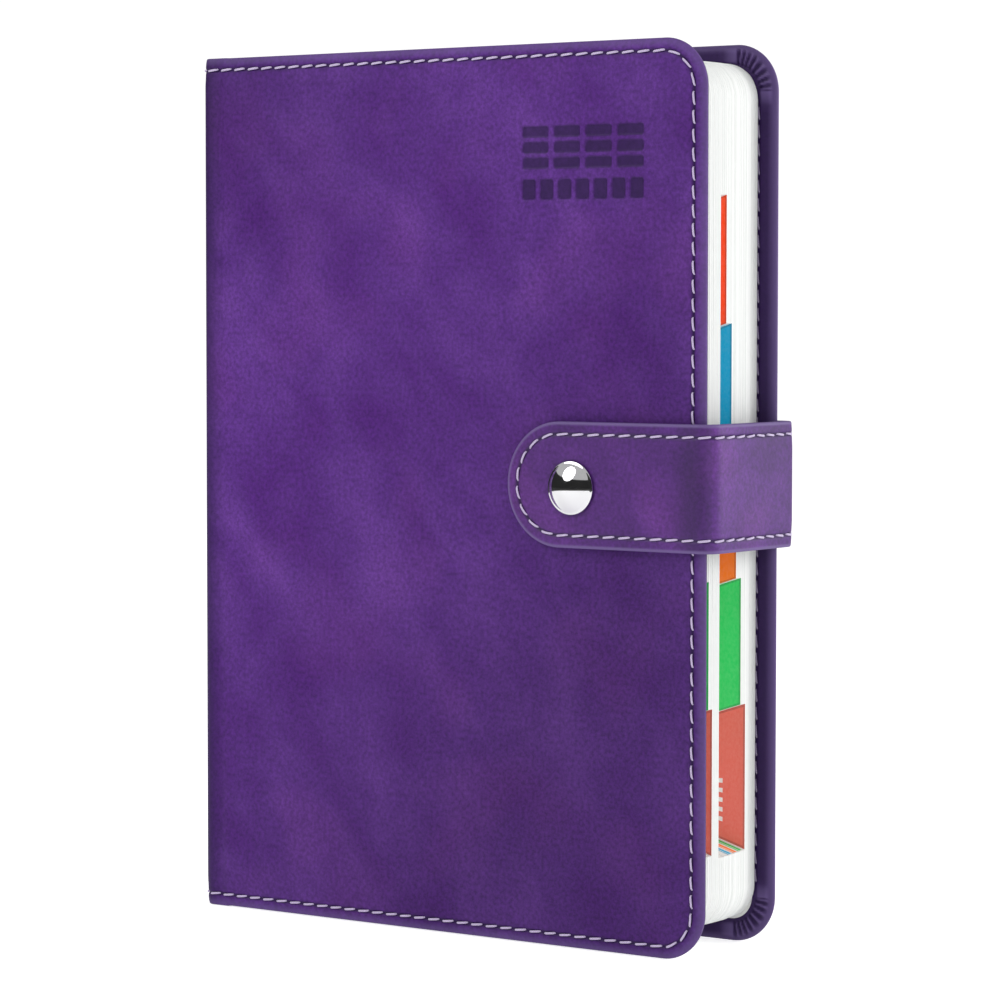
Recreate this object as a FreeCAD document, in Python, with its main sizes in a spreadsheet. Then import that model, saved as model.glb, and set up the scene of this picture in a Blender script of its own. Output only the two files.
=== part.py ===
import FreeCAD, Part
import Sketcher
import math
import os
import re

from FreeCAD import Placement, Vector

# A monthly planner bound in soft leather with a snap strap, standing upright on its tail edge.
#
# Book frame, used while building: X runs from the spine's outer face to the fore-edge, Y from the
# front cover's outer face to the back cover's, Z up from the tail edge. Every placement then moves
# the book frame so that the origin is at the centre of the foot of the whole part's box.

doc = FreeCAD.newDocument("planner")
sheet = doc.addObject("Spreadsheet::Sheet", "dims")

DIMENSIONS = {
    "origin_x": 77.6,           # book frame position of the part's own origin
    "origin_y": 15.525,
    "book_height": 215.0,
    "book_depth": 34.0,         # outer face of the front cover to that of the back cover
    "fore_edge": 151.0,
    "cover_start": 4.1,         # covers begin here, beside the spine leather
    "cover_depth": 2.8,
    "skin_depth": 0.9,
    "joint_end": 8.0,           # bare leather, with no board, up to here
    "joint_depth": 1.2,
    "rim": 5.5,                 # stitched border round the board
    "board_depth": 1.6,
    "cover_corner": 11.5,
    "recess_corner": 6.0,
    "edge_roll": 1.0,
    "slack": 0.05,              # clearance of a piece laid in its recess
    "post_hole": 1.6,
    "disc_hole": 4.8,
    "snap_x": 116.0,
    "snap_z": 110.0,
    "spine_end": 3.95,
    "spine_skin": 1.2,
    "spine_corner": 3.0,
    "block_foot": 5.5,
    "block_height": 205.0,
    "block_start": 4.2,         # spine side of the bound edge
    "page_corner": 9.0,
    "leaf_depth": 0.3,
    "page_gap": 0.06,           # air between one section and the next
    "front_plane": 3.1,         # front face of the flyleaf
    "january_plane": 4.3,
    "early_pitch": 1.4,         # January to June, squeezed by the closed strap
    "july_plane": 14.0,
    "late_pitch": 2.3,          # July to December
    "block_back": 27.85,
    "notes_plane": 27.9,
    "notes_depth": 2.7,
    "flyleaf_depth": 0.25,
    "block_fore_edge": 147.0,
    "block_swell": 1.7,         # how far the fore-edge falls back at the front of the block
    "swell_centre": 20.0,
    "swell_reach": 17.0,
    "gutter_first": 8.0,        # first fold line, from the spine's outer face
    "tab_root": 135.3,          # inner side of the index tabs
    "tab_top": 207.2,
    "tab_pitch": 30.13,
    "tab_rise": 3.8,            # height gained across the slanted end of a tab
    "tab_foot": 26.9,
    "tab_foot_drop": 3.4,
    "tab_foot_step": 0.15,      # how much lower each earlier month in a bank is cut
    "strap_foot": 95.7,
    "strap_width": 29.9,
    "strap_tip": 97.3,
    "tip_round": 14.85,
    "strap_bend": 150.2,        # where both bends of the strap are centred
    "bend_outer": 5.0,
    "ply_outer": 1.2,
    "ply_lining": 1.08,
    "ply_gap": 0.02,
    "strap_front": -2.9,        # outer face of the flap
    "strap_back": 36.32,        # outer face of the sewn tab
    "tab_end": 105.0,
    "mitre_gap": 1.5,           # degrees left open on each side of a strap's fold line
    "socket_hole": 4.3,
    "cap_post_hole": 1.5,
    "cap_radius": 6.35,
    "cap_height": 2.65,
    "cap_rim": 0.35,
    "cap_dome": 9.92,           # radius of the dome, through the rim and the crown
    "cap_post": 1.4,
    "socket_bore": 2.35,
    "socket_radius": 4.2,
    "socket_depth": 0.95,
    "stud_flange": 4.0,
    "stud_neck": 1.4,
    "stud_head": 1.85,
    "stud_height": 1.42,
    "spring_wire": 0.1,
    "stitch_pitch": 4.35,
    "stitch_inset": 3.0,
    "strap_stitch_inset": 3.0,
    "stitch_width": 0.75,
    "stitch_height": 0.3,
}
for row, (alias, value) in enumerate(DIMENSIONS.items(), start=1):
    sheet.set(f"A{row}", alias)
    sheet.set(f"B{row}", str(value))
    sheet.setAlias(f"B{row}", alias)

# Opening angle of each section when the front cover lies fully back, front matter first. A fold
# line past a right angle has to stand further from the spine than the one before it.
FAN_ANGLES = [126, 119, 112, 105, 98, 91, 84, 73, 62.5, 52, 41.5, 31, 20.5]
NOTES_ANGLE = 12.5
FOLD_STEP = 0.3
TAPER_SHARE = 0.93              # part of the angle between neighbours that a section's taper takes up
BANK = 6
MONTHS = [
    "january", "february", "march", "april", "may", "june",
    "july", "august", "september", "october", "november", "december",
]


def cell(alias):
    """Number held by one cell of the sheet."""
    return DIMENSIONS[alias]


def section_planes():
    """Front plane of the front matter and of the twelve months, then the back of the last one."""
    early = [cell("january_plane") + i * cell("early_pitch") for i in range(BANK)]
    late = [cell("july_plane") + i * cell("late_pitch") for i in range(BANK)]
    return [cell("front_plane")] + early + late + [cell("block_back")]


def fold_lines(planes):
    """X of each section's fold line, staggered where neighbours turn past a right angle."""
    folds = [cell("gutter_first")]
    for i, angle in enumerate(FAN_ANGLES[:-1]):
        step = 0.0
        if angle > 90:
            step = FOLD_STEP - (planes[i + 1] - planes[i]) / math.tan(math.radians(angle))
        folds.append(folds[-1] + step)
    return folds


PLANES = section_planes()
FOLDS = fold_lines(PLANES)
section_row = len(DIMENSIONS) + 1
for i, fold in enumerate(FOLDS):
    depth = PLANES[i + 1] - PLANES[i] - cell("page_gap")
    following = FAN_ANGLES[i + 1] if i + 1 < len(FAN_ANGLES) else NOTES_ANGLE
    taper = depth / math.tan(math.radians((FAN_ANGLES[i] - following) * TAPER_SHARE))
    swell = ((PLANES[i] - cell("swell_centre")) / cell("swell_reach")) ** 2
    numbers = {
        f"plane_{i:02d}": PLANES[i],
        f"fold_{i:02d}": round(fold, 2),
        f"depth_{i:02d}": round(depth, 3),
        f"taper_{i:02d}": round(taper, 2),
        f"reach_{i:02d}": round(cell("block_fore_edge") - cell("block_swell") * swell - fold, 2),
    }
    for alias, value in numbers.items():
        sheet.set(f"A{section_row}", alias)
        sheet.set(f"B{section_row}", str(value))
        sheet.setAlias(f"B{section_row}", alias)
        DIMENSIONS[alias] = value
        section_row += 1
doc.recompute()

NODES = []
FUNCTION_OR_WORD = re.compile(r"[a-z][a-z_0-9]*")


def bound(formula):
    """A formula in sheet aliases, written the way a document expression names them."""
    return FUNCTION_OR_WORD.sub(lambda word: "dims." + word.group(0), formula)


def number(formula):
    """The value of a formula in sheet aliases."""
    return float(sheet.evalExpression(bound(formula)))


def place(obj, x="0", y="0", z="0"):
    """Binds an object's placement to a point of the book frame."""
    obj.Placement = Placement()
    obj.setExpression("Placement.Base.x", bound(f"({x}) - origin_x"))
    obj.setExpression("Placement.Base.y", bound(f"({y}) - origin_y"))
    obj.setExpression("Placement.Base.z", bound(f"{z}") if z != "0" else "0")


def new_body(label, x="0", y="0", z="0"):
    body = doc.addObject("PartDesign::Body", label)
    body.Label = label
    place(body, x, y, z)
    NODES.append(body)
    return body


def plane_of(body, role):
    return next(f for f in body.Origin.OriginFeatures if f.Role == role)


def new_sketch(body, role, lift=None):
    """Sketch on one of the body's own planes, lifted along that plane's normal."""
    sketch = body.newObject("Sketcher::SketchObject", body.Label + "_sketch")
    sketch.AttachmentSupport = (plane_of(body, role), [""])
    sketch.MapMode = "FlatFace"
    if lift:
        sketch.setExpression("AttachmentOffset.Base.z", bound(lift))
    return sketch


def outline(body, role, corners, lift=None, arc=None):
    """Closed outline whose corners are given as pairs of formulas, with straight sides.

    arc is (side, height of its centre on the V axis, radius): that side is an arc instead.
    """
    sketch = new_sketch(body, role, lift)
    points = [Vector(number(u), number(v), 0) for u, v in corners]
    ends = []
    for i, point in enumerate(points):
        after = points[(i + 1) % len(points)]
        if arc and arc[0] == i:
            circle = Part.Circle(Vector(0, number(arc[1]), 0), Vector(0, 0, 1), number(arc[2]))
            span = (circle.parameter(after), circle.parameter(point))
            sketch.addGeometry(Part.ArcOfCircle(circle, *span), False)
            ends.append((2, 1))
        else:
            sketch.addGeometry(Part.LineSegment(point, after), False)
            ends.append((1, 2))
    for i in range(len(points)):
        j = (i + 1) % len(points)
        sketch.addConstraint(Sketcher.Constraint("Coincident", i, ends[i][1], j, ends[j][0]))
    if arc:
        index = sketch.addConstraint(Sketcher.Constraint("Radius", arc[0], number(arc[2])))
        sketch.setExpression(f"Constraints[{index}]", bound(arc[2]))
    for i, (u, v) in enumerate(corners):
        for axis, formula, on_axis in (("DistanceX", u, -2), ("DistanceY", v, -1)):
            corner = ends[i][0]
            if formula == "0":
                sketch.addConstraint(Sketcher.Constraint("PointOnObject", i, corner, on_axis))
                continue
            index = sketch.addConstraint(
                Sketcher.Constraint(axis, -1, 1, i, corner, number(formula))
            )
            sketch.setExpression(f"Constraints[{index}]", bound(formula))
    return sketch


def disc_outline(body, role, u, v, radius, lift=None):
    """Circle at a point given by formulas."""
    sketch = new_sketch(body, role, lift)
    centre = Vector(number(u), number(v), 0)
    sketch.addGeometry(Part.Circle(centre, Vector(0, 0, 1), number(radius)), False)
    for kind, args, formula in (
        ("DistanceX", (-1, 1, 0, 3), u),
        ("DistanceY", (-1, 1, 0, 3), v),
        ("Radius", (0,), radius),
    ):
        index = sketch.addConstraint(Sketcher.Constraint(kind, *args, number(formula)))
        sketch.setExpression(f"Constraints[{index}]", bound(formula))
    return sketch


def pad(body, sketch, length):
    feature = body.newObject("PartDesign::Pad", body.Label + "_pad")
    feature.Profile = sketch
    feature.setExpression("Length", bound(length))
    doc.recompute()
    return feature


def cut(body, sketch):
    """Pocket right through, on the side of the sketch away from its plane's normal."""
    before = body.Shape.Volume
    feature = body.newObject("PartDesign::Pocket", body.Label + "_pocket")
    feature.Profile = sketch
    feature.Type = "ThroughAll"
    doc.recompute()
    if body.Shape.Volume > before - 1e-3:
        raise RuntimeError(f"a pocket in {body.Label} removes nothing")
    return feature


def fillet(body, radius, wanted):
    """Rounds every edge that wanted(edge) picks out of the body's last feature."""
    tip = body.Tip
    names = [f"Edge{i}" for i, edge in enumerate(tip.Shape.Edges, start=1) if wanted(edge)]
    if not names:
        raise RuntimeError(f"no edge to round in {body.Label}")
    feature = body.newObject("PartDesign::Fillet", body.Label + "_fillet")
    feature.Base = (tip, names)
    feature.setExpression("Radius", bound(radius))
    doc.recompute()
    return feature


def turned(label, y, corners, arc=None):
    """Piece turned about the snap's axis. Each corner is a radius and a depth along +Y."""
    body = new_body(label, "snap_x", y, "snap_z")
    profile = outline(body, "XY_Plane", corners, arc=arc)
    feature = body.newObject("PartDesign::Revolution", label + "_turning")
    feature.Profile = profile
    feature.ReferenceAxis = (profile, ["V_Axis"])
    feature.Angle = 360
    doc.recompute()
    return body


def shape_node(label, shape):
    """A piece built in the book frame straight from Part's functions."""
    node = doc.addObject("Part::Feature", label)
    node.Label = label
    node.Shape = shape
    place(node)
    NODES.append(node)
    return node


def runs_along(edge, axis):
    """True for a straight edge parallel to one axis."""
    first, last = edge.Vertexes[0].Point, edge.Vertexes[-1].Point
    along = last - first
    return len(edge.Vertexes) == 2 and abs(along[axis]) > 0.999 * along.Length > 0


def near(value, target):
    return abs(value - target) < 1e-3


# ---------------------------------------------------------------- covers

def mirrored(depth, back):
    """Depth measured inwards from a cover's outer face, as the body's own Y."""
    return f"-({depth})" if back else depth


def fillet_corners(body, radius, x):
    """Rounds the edges that run through the thickness of a cover at a distance x."""
    far = number(x)
    fillet(body, radius, lambda e: runs_along(e, 1) and near(e.Vertexes[0].X, far))


def cover_leather(label, back):
    """Tray of leather: outer skin, rolled edges and a border round the board's recess."""
    body = new_body(label, "cover_start", "book_depth" if back else "0")
    width = "fore_edge - cover_start"
    joint = "joint_end - cover_start"
    corners = [
        ("0", "0"),
        (width, "0"),
        (width, mirrored("cover_depth", back)),
        (joint, mirrored("cover_depth", back)),
        (joint, mirrored("joint_depth", back)),
        ("0", mirrored("joint_depth", back)),
    ]
    pad(body, outline(body, "XY_Plane", corners), "book_height")
    right = number(width)
    fillet_corners(body, "cover_corner", width)
    inner = -cell("cover_depth") if back else cell("cover_depth")
    height = cell("book_height")

    def on_rim(edge):
        box = edge.BoundBox
        if box.YLength > 1e-3 or not (near(box.YMin, 0) or near(box.YMin, inner)):
            return False
        return near(box.ZMax, height) or near(box.ZMin, 0) or near(box.XMax, right)

    def rim_only(edge):
        box = edge.BoundBox
        return on_rim(edge) and not (runs_along(edge, 2) and not near(box.XMax, right))

    fillet(body, "edge_roll", rim_only)
    recess = [
        ("joint_end + 1 - cover_start", "rim"),
        ("fore_edge - rim - cover_start", "rim"),
        ("fore_edge - rim - cover_start", "book_height - rim"),
        ("joint_end + 1 - cover_start", "book_height - rim"),
    ]
    lift = "skin_depth" if back else "-skin_depth"
    feature = None
    if back:
        feature = outline(body, "XZ_Plane", recess, lift)
        pocket = body.newObject("PartDesign::Pocket", label + "_recess")
        pocket.Profile = feature
        pocket.Reversed = True
        pocket.Type = "ThroughAll"
        doc.recompute()
    else:
        cut(body, outline(body, "XZ_Plane", recess, lift))
        hole = disc_outline(body, "XZ_Plane", "snap_x - cover_start", "snap_z", "post_hole", "1")
        cut(body, hole)
    fillet_corners(body, "recess_corner", "fore_edge - rim - cover_start")
    return body


def recess_sheet(label, back, near_face, depth, hole):
    """Board or paper laid in a cover's recess, between near_face and near_face + depth."""
    x, z = "joint_end + 1 + slack", "rim + slack"
    y = f"book_depth - ({near_face}) - ({depth})" if back else near_face
    body = new_body(label, x, y, z)
    wide = "fore_edge - rim - joint_end - 1 - 2 * slack"
    corners = [("0", "0"), (wide, "0"), (wide, depth), ("0", depth)]
    pad(body, outline(body, "XY_Plane", corners), "book_height - 2 * rim - 2 * slack")
    fillet_corners(body, "recess_corner - slack", wide)
    if hole:
        at = (f"snap_x - ({x})", f"snap_z - ({z})")
        cut(body, disc_outline(body, "XZ_Plane", *at, hole, "1"))
    return body


for side, back in (("front", False), ("back", True)):
    cover_leather(f"{side}_cover_leather", back)
    recess_sheet(f"{side}_cover_board", back, "skin_depth + 0.02", "board_depth - 0.04",
                 None if back else "post_hole")
    recess_sheet(f"{side}_pastedown", back, "skin_depth + board_depth", "flyleaf_depth",
                 None if back else "disc_hole")

# ---------------------------------------------------------------- spine and bound edge

spine = new_body("spine_leather")
channel = [
    ("0", "0"),
    ("spine_end", "0"),
    ("spine_end", "spine_skin"),
    ("spine_skin", "spine_skin"),
    ("spine_skin", "book_depth - spine_skin"),
    ("spine_end", "book_depth - spine_skin"),
    ("spine_end", "book_depth"),
    ("0", "book_depth"),
]
pad(spine, outline(spine, "XY_Plane", channel), "book_height")
fillet(spine, "spine_corner", lambda e: runs_along(e, 2) and near(e.Vertexes[0].X, 0))


def upright(label, x, y, z, wide, deep, high):
    """Plain slab standing along Z."""
    body = new_body(label, x, y, z)
    corners = [("0", "0"), (wide, "0"), (wide, deep), ("0", deep)]
    pad(body, outline(body, "XY_Plane", corners), high)
    return body


board_margin = "spine_skin + 1"
upright("spine_board", "spine_skin + slack", board_margin, "edge_roll + slack",
        "board_depth - 0.1", f"book_depth - 2 * ({board_margin})",
        "book_height - 2 * (edge_roll + slack)")
upright("spine_mull", "block_start - 1.15", "front_plane + 0.1", "block_foot + 10", "0.25",
        "block_back + notes_depth - front_plane", "block_height - 20")
upright("spine_glue", "block_start - 0.88", "front_plane", "block_foot", "0.86",
        "notes_plane + notes_depth - front_plane", "block_height")
notes_reach = "block_fore_edge - 0.7 - block_start"


def outer_page_corner(edge, reach):
    return runs_along(edge, 1) and near(edge.Vertexes[0].X, reach)


for label, y, depth in (
    ("notes_pages", "notes_plane", "notes_depth"),
    ("back_flyleaf", "notes_plane + notes_depth + 0.04", "flyleaf_depth"),
):
    sheets = upright(label, "block_start", y, "block_foot", notes_reach, depth, "block_height")
    fillet(sheets, "page_corner", lambda e: outer_page_corner(e, number(notes_reach)))

gutters = []
for i in range(len(FAN_ANGLES)):
    fold, depth = cell(f"fold_{i:02d}"), cell(f"depth_{i:02d}")
    width = fold - 0.12 - cell("block_start")
    corner = Vector(cell("block_start"), PLANES[i], cell("block_foot"))
    gutters.append(Part.makeBox(width, depth, cell("block_height"), corner))
shape_node("sewn_gutters", Part.makeCompound(gutters))

BAND_RADIUS = 0.8
for label, z in (
    ("headband", cell("block_foot") + cell("block_height") + BAND_RADIUS),
    ("tailband", cell("block_foot") - BAND_RADIUS),
):
    span = cell("notes_plane") + cell("notes_depth") - cell("front_plane")
    start = Vector(cell("block_start") + BAND_RADIUS, cell("front_plane"), z)
    shape_node(label, Part.makeCylinder(BAND_RADIUS, span, start, Vector(0, 1, 0)))

# ---------------------------------------------------------------- page sections


def thumb_cut(body, index, fold):
    """Steps the fore-edge back below this month's tab, so that the later tabs show."""
    place_in_bank = (index - 1) % BANK + 1
    if index == 0 or place_in_bank == BANK:
        return
    end = f"tab_top - {place_in_bank} * tab_pitch - block_foot"
    foot = f"tab_foot - {BANK - place_in_bank} * tab_foot_step - block_foot"
    corners = [
        (f"tab_root - {fold}", foot),
        (f"block_fore_edge + 3 - {fold}", f"{foot} - 1.25 * tab_foot_drop"),
        (f"block_fore_edge + 3 - {fold}", f"{end} + 0.75 * tab_rise"),
        (f"tab_root - {fold}", f"{end} - 0.5 * tab_rise"),
    ]
    cut(body, outline(body, "XZ_Plane", corners, "2"))


def section_body(label, index, corners):
    """Leaf or pages of one section. Its own origin is on the fold line, at the block's foot."""
    code = f"{index:02d}"
    body = new_body(label, f"fold_{code}", f"plane_{code}", "block_foot")
    pad(body, outline(body, "XY_Plane", corners), "block_height")
    reach = cell(f"reach_{code}")
    fillet(body, "page_corner", lambda e: outer_page_corner(e, reach))
    thumb_cut(body, index, f"fold_{code}")


for index, month in enumerate(["front"] + MONTHS):
    code = f"{index:02d}"
    reach, taper, depth = f"reach_{code}", f"taper_{code}", f"depth_{code}"
    leaf = [("0", "0"), (reach, "0"), (reach, "leaf_depth"), ("0", "leaf_depth")]
    pages = [("0", "leaf_depth"), (reach, "leaf_depth"), (reach, depth), (taper, depth)]
    section_body("front_flyleaf" if index == 0 else f"{month}_tab_leaf", index, leaf)
    section_body("front_matter" if index == 0 else f"{month}_pages", index, pages)

# ---------------------------------------------------------------- strap


def on_arc(centre, radius, degrees):
    angle = math.radians(degrees)
    return centre + Vector(radius * math.cos(angle), radius * math.sin(angle), 0)


def ply_bend(centre, inner, outer, start, end):
    """Arc-shaped half of a fold, as edges from the inner face round to the outer face."""
    middle = (start + end) / 2
    inside = Part.Arc(*[on_arc(centre, inner, a) for a in (start, middle, end)])
    outside = Part.Arc(*[on_arc(centre, outer, a) for a in (end, middle, start)])
    return inside, outside


def prism(edges, high):
    """Upright solid over a closed plan outline."""
    wire = Part.Wire(Part.__sortEdges__([edge.toShape() for edge in edges]))
    return Part.Face(wire).extrude(Vector(0, 0, high))


def line(a, b):
    return Part.LineSegment(a, b)


STRAP_FOOT, STRAP_WIDTH = cell("strap_foot"), cell("strap_width")
BEND_FRONT = Vector(cell("strap_bend"), cell("strap_front") + cell("bend_outer"), STRAP_FOOT)
BEND_BACK = Vector(cell("strap_bend"), cell("strap_back") - cell("bend_outer"), STRAP_FOOT)
FRONT_FOLD = 315.0
BACK_FOLD = 45.0
PLIES = {
    "outer": (cell("bend_outer") - cell("ply_outer"), cell("bend_outer")),
    "lining": (
        cell("bend_outer") - cell("ply_outer") - cell("ply_gap") - cell("ply_lining"),
        cell("bend_outer") - cell("ply_outer") - cell("ply_gap"),
    ),
}


def flat_ply(centre, inner, outer, tip_x, direction, start, end):
    """Flat run from tip_x to the bend, then half of the bend up to the fold line."""
    inside, outside = ply_bend(centre, inner, outer, start, end)
    in_flat = on_arc(centre, inner, direction)
    out_flat = on_arc(centre, outer, direction)
    in_tip = Vector(tip_x, in_flat.y, in_flat.z)
    out_tip = Vector(tip_x, out_flat.y, out_flat.z)
    in_fold = on_arc(centre, inner, end if start == direction else start)
    out_fold = on_arc(centre, outer, end if start == direction else start)
    return [line(in_tip, in_flat), inside, line(in_fold, out_fold), outside,
            line(out_flat, out_tip), line(out_tip, in_tip)]


def rounded_tip(solid, tip_x, radius):
    """Rounds the two corners at the end of a strap."""
    edges = [e for e in solid.Edges if runs_along(e, 1) and near(e.Vertexes[0].X, tip_x)]
    return solid.makeFillet(radius, edges)


def bored(solid, radius):
    """Hole through a ply on the snap's axis."""
    start = Vector(cell("snap_x"), 2 * cell("strap_front"), cell("snap_z"))
    return solid.cut(Part.makeCylinder(radius, cell("book_depth"), start, Vector(0, 1, 0)))


gap = cell("mitre_gap")
for ply, (inner, outer) in PLIES.items():
    flap = prism(flat_ply(BEND_FRONT, inner, outer, cell("strap_tip"), 270, 270, FRONT_FOLD - gap),
                 STRAP_WIDTH)
    flap = rounded_tip(flap, cell("strap_tip"), cell("tip_round"))
    flap = bored(flap, cell("cap_post_hole" if ply == "outer" else "socket_hole"))
    shape_node(f"strap_flap_{ply}", flap)

    anchor = prism(flat_ply(BEND_BACK, inner, outer, cell("tab_end"), 90, 90, BACK_FOLD + gap),
                   STRAP_WIDTH)
    shape_node(f"strap_anchor_{ply}", rounded_tip(anchor, cell("tab_end"), 4.0))

    front_in, front_out = ply_bend(BEND_FRONT, inner, outer, FRONT_FOLD + gap, 360)
    back_in, back_out = ply_bend(BEND_BACK, inner, outer, 0, BACK_FOLD - gap)
    side = [
        line(on_arc(BEND_FRONT, outer, FRONT_FOLD + gap), on_arc(BEND_FRONT, inner, FRONT_FOLD + gap)),
        front_in,
        line(on_arc(BEND_FRONT, inner, 0), on_arc(BEND_BACK, inner, 0)),
        back_in,
        line(on_arc(BEND_BACK, inner, BACK_FOLD - gap), on_arc(BEND_BACK, outer, BACK_FOLD - gap)),
        back_out,
        line(on_arc(BEND_BACK, outer, 0), on_arc(BEND_FRONT, outer, 0)),
        front_out,
    ]
    shape_node(f"strap_side_{ply}", prism(side, STRAP_WIDTH))

# ---------------------------------------------------------------- snap fastener

turned(
    "snap_cap",
    "strap_front - ply_gap",
    [("0", "ply_outer"), ("cap_post", "ply_outer"), ("cap_post", "0"), ("cap_radius", "0"),
     ("cap_radius", "-cap_rim"), ("0", "-cap_height")],
    arc=(4, "cap_dome - cap_height", "cap_dome"),
)
turned(
    "snap_socket",
    "strap_front + ply_outer + 2 * ply_gap",
    [("socket_bore", "0"), ("socket_radius", "0"), ("socket_radius", "socket_depth"),
     ("socket_bore + cap_rim", "socket_depth"), ("socket_bore", "socket_depth - cap_rim")],
)
turned(
    "snap_stud",
    "0",
    [("0", "0"), ("stud_flange", "0"), ("stud_flange", "-stitch_height"),
     ("stud_neck", "-stitch_height"), ("stud_neck", "-0.5 * stud_height"),
     ("stud_head", "-0.65 * stud_height"), ("stud_head", "-0.85 * stud_height"),
     ("stud_neck", "-stud_height"), ("0", "-stud_height")],
)
post_seat = "skin_depth + board_depth + ply_gap"
turned(
    "snap_post",
    "0",
    [("0", "0"), ("post_hole - slack", "0"), ("post_hole - slack", post_seat),
     ("disc_hole - 4 * slack", post_seat), ("disc_hole - 10 * slack", "cover_depth + 2 * slack"),
     ("0", "cover_depth + 2 * slack")],
)
spring_y = cell("strap_front") + cell("ply_outer") + cell("socket_depth") / 2
spring_at = Vector(cell("snap_x"), spring_y, cell("snap_z"))
spring_ring = cell("socket_bore") - 2 * cell("spring_wire")
spring = Part.makeTorus(spring_ring, cell("spring_wire"), spring_at, Vector(0, 1, 0))
shape_node("snap_spring", spring)

# ---------------------------------------------------------------- stitching


def stitch(at, along, out, length):
    """One thread stitch lying on a surface whose outward normal is out."""
    across = along.cross(out)
    half, high = cell("stitch_width") / 2, cell("stitch_height")
    profile = [(-half, 0), (half, 0), (0.55 * half, high), (-0.55 * half, high)]
    start = at - along * (length / 2)
    points = [start + across * a + out * b for a, b in profile]
    return Part.Face(Part.makePolygon(points + points[:1])).extrude(along * length)


def stitch_row(edges, out, skip=None):
    """Evenly spaced stitches along a chain of edges, which may leave a stretch out."""
    wire = Part.Wire([e.toShape() for e in edges])
    count = max(1, round(wire.Length / cell("stitch_pitch")))
    points = wire.discretize(Number=2 * count + 1)
    row = []
    for i in range(1, 2 * count, 2):
        if skip and skip(points[i]):
            continue
        along = (points[i + 1] - points[i - 1]).normalize()
        row.append(stitch(points[i], along, out, 0.66 * wire.Length / count))
    return row


def cover_path(y):
    """Stitch line round a cover's head, fore-edge and tail."""
    inset = cell("stitch_inset")
    start = cell("cover_start") + 0.6
    right, low, high = cell("fore_edge") - inset, inset, cell("book_height") - inset
    turn = cell("cover_corner") - inset
    bow = turn * (1 - math.sqrt(0.5))
    return [
        line(Vector(start, y, high), Vector(right - turn, y, high)),
        Part.Arc(Vector(right - turn, y, high), Vector(right - bow, y, high - bow),
                 Vector(right, y, high - turn)),
        line(Vector(right, y, high - turn), Vector(right, y, low + turn)),
        Part.Arc(Vector(right, y, low + turn), Vector(right - bow, y, low + bow),
                 Vector(right - turn, y, low)),
        line(Vector(right - turn, y, low), Vector(start, y, low)),
    ]


def under_anchor(point):
    """Stitches that the sewn end of the strap covers aren't there."""
    clear = cell("stitch_pitch") / 2
    return -clear < point.z - cell("strap_foot") < cell("strap_width") + clear and point.x > 20


FRONT_OUT, BACK_OUT, SIDE_OUT = Vector(0, -1, 0), Vector(0, 1, 0), Vector(1, 0, 0)
front_rows = stitch_row(cover_path(0), FRONT_OUT)
front_rows += [s for s in stitch_row(cover_path(cell("cover_depth")), BACK_OUT)
               if s.BoundBox.XMin > cell("joint_end")]
shape_node("front_cover_stitching", Part.makeCompound(front_rows))
back_rows = stitch_row(cover_path(cell("book_depth")), BACK_OUT, under_anchor)
back_rows += [s for s in stitch_row(cover_path(cell("book_depth") - cell("cover_depth")), FRONT_OUT)
              if s.BoundBox.XMin > cell("joint_end")]
shape_node("back_cover_stitching", Part.makeCompound(back_rows))

spine_rows = []
for z in (cell("stitch_inset"), cell("book_height") - cell("stitch_inset")):
    first = Vector(0, cell("spine_corner"), z)
    last = Vector(0, cell("book_depth") - cell("spine_corner"), z)
    spine_rows += stitch_row([line(first, last)], Vector(-1, 0, 0))
shape_node("spine_stitching", Part.makeCompound(spine_rows))

strap_low = cell("strap_foot") + cell("strap_stitch_inset")
strap_high = cell("strap_foot") + cell("strap_width") - cell("strap_stitch_inset")
strap_mid = (strap_low + strap_high) / 2
tip_turn = (strap_high - strap_low) / 2
tip_centre = cell("strap_tip") + cell("strap_width") / 2
front_y, back_y, side_x = cell("strap_front"), cell("strap_back"), BEND_FRONT.x + cell("bend_outer")
bend_x = cell("strap_bend")
flap_path = [
    line(Vector(bend_x, front_y, strap_high), Vector(tip_centre, front_y, strap_high)),
    Part.Arc(Vector(tip_centre, front_y, strap_high), Vector(tip_centre - tip_turn, front_y, strap_mid),
             Vector(tip_centre, front_y, strap_low)),
    line(Vector(tip_centre, front_y, strap_low), Vector(bend_x, front_y, strap_low)),
]
shape_node("strap_flap_stitching", Part.makeCompound(stitch_row(flap_path, FRONT_OUT)))
side_rows = []
for z in (strap_low, strap_high):
    ends = [Vector(side_x, BEND_FRONT.y, z), Vector(side_x, BEND_BACK.y, z)]
    side_rows += stitch_row([line(*ends)], SIDE_OUT)
shape_node("strap_side_stitching", Part.makeCompound(side_rows))
anchor_left, anchor_right = cell("tab_end") + cell("stitch_inset"), bend_x - 2
corners = [
    Vector(anchor_right, back_y, strap_high), Vector(anchor_left, back_y, strap_high),
    Vector(anchor_left, back_y, strap_low), Vector(anchor_right, back_y, strap_low),
]
anchor_path = [line(corners[i], corners[i + 1]) for i in range(3)]
crossing = [line(Vector(anchor_right, back_y, strap_low + 3), Vector(anchor_right, back_y, strap_high - 3))]
anchor_rows = stitch_row(anchor_path, BACK_OUT) + stitch_row(crossing, BACK_OUT)
shape_node("strap_anchor_stitching", Part.makeCompound(anchor_rows))

# ---------------------------------------------------------------- checks and files

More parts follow.
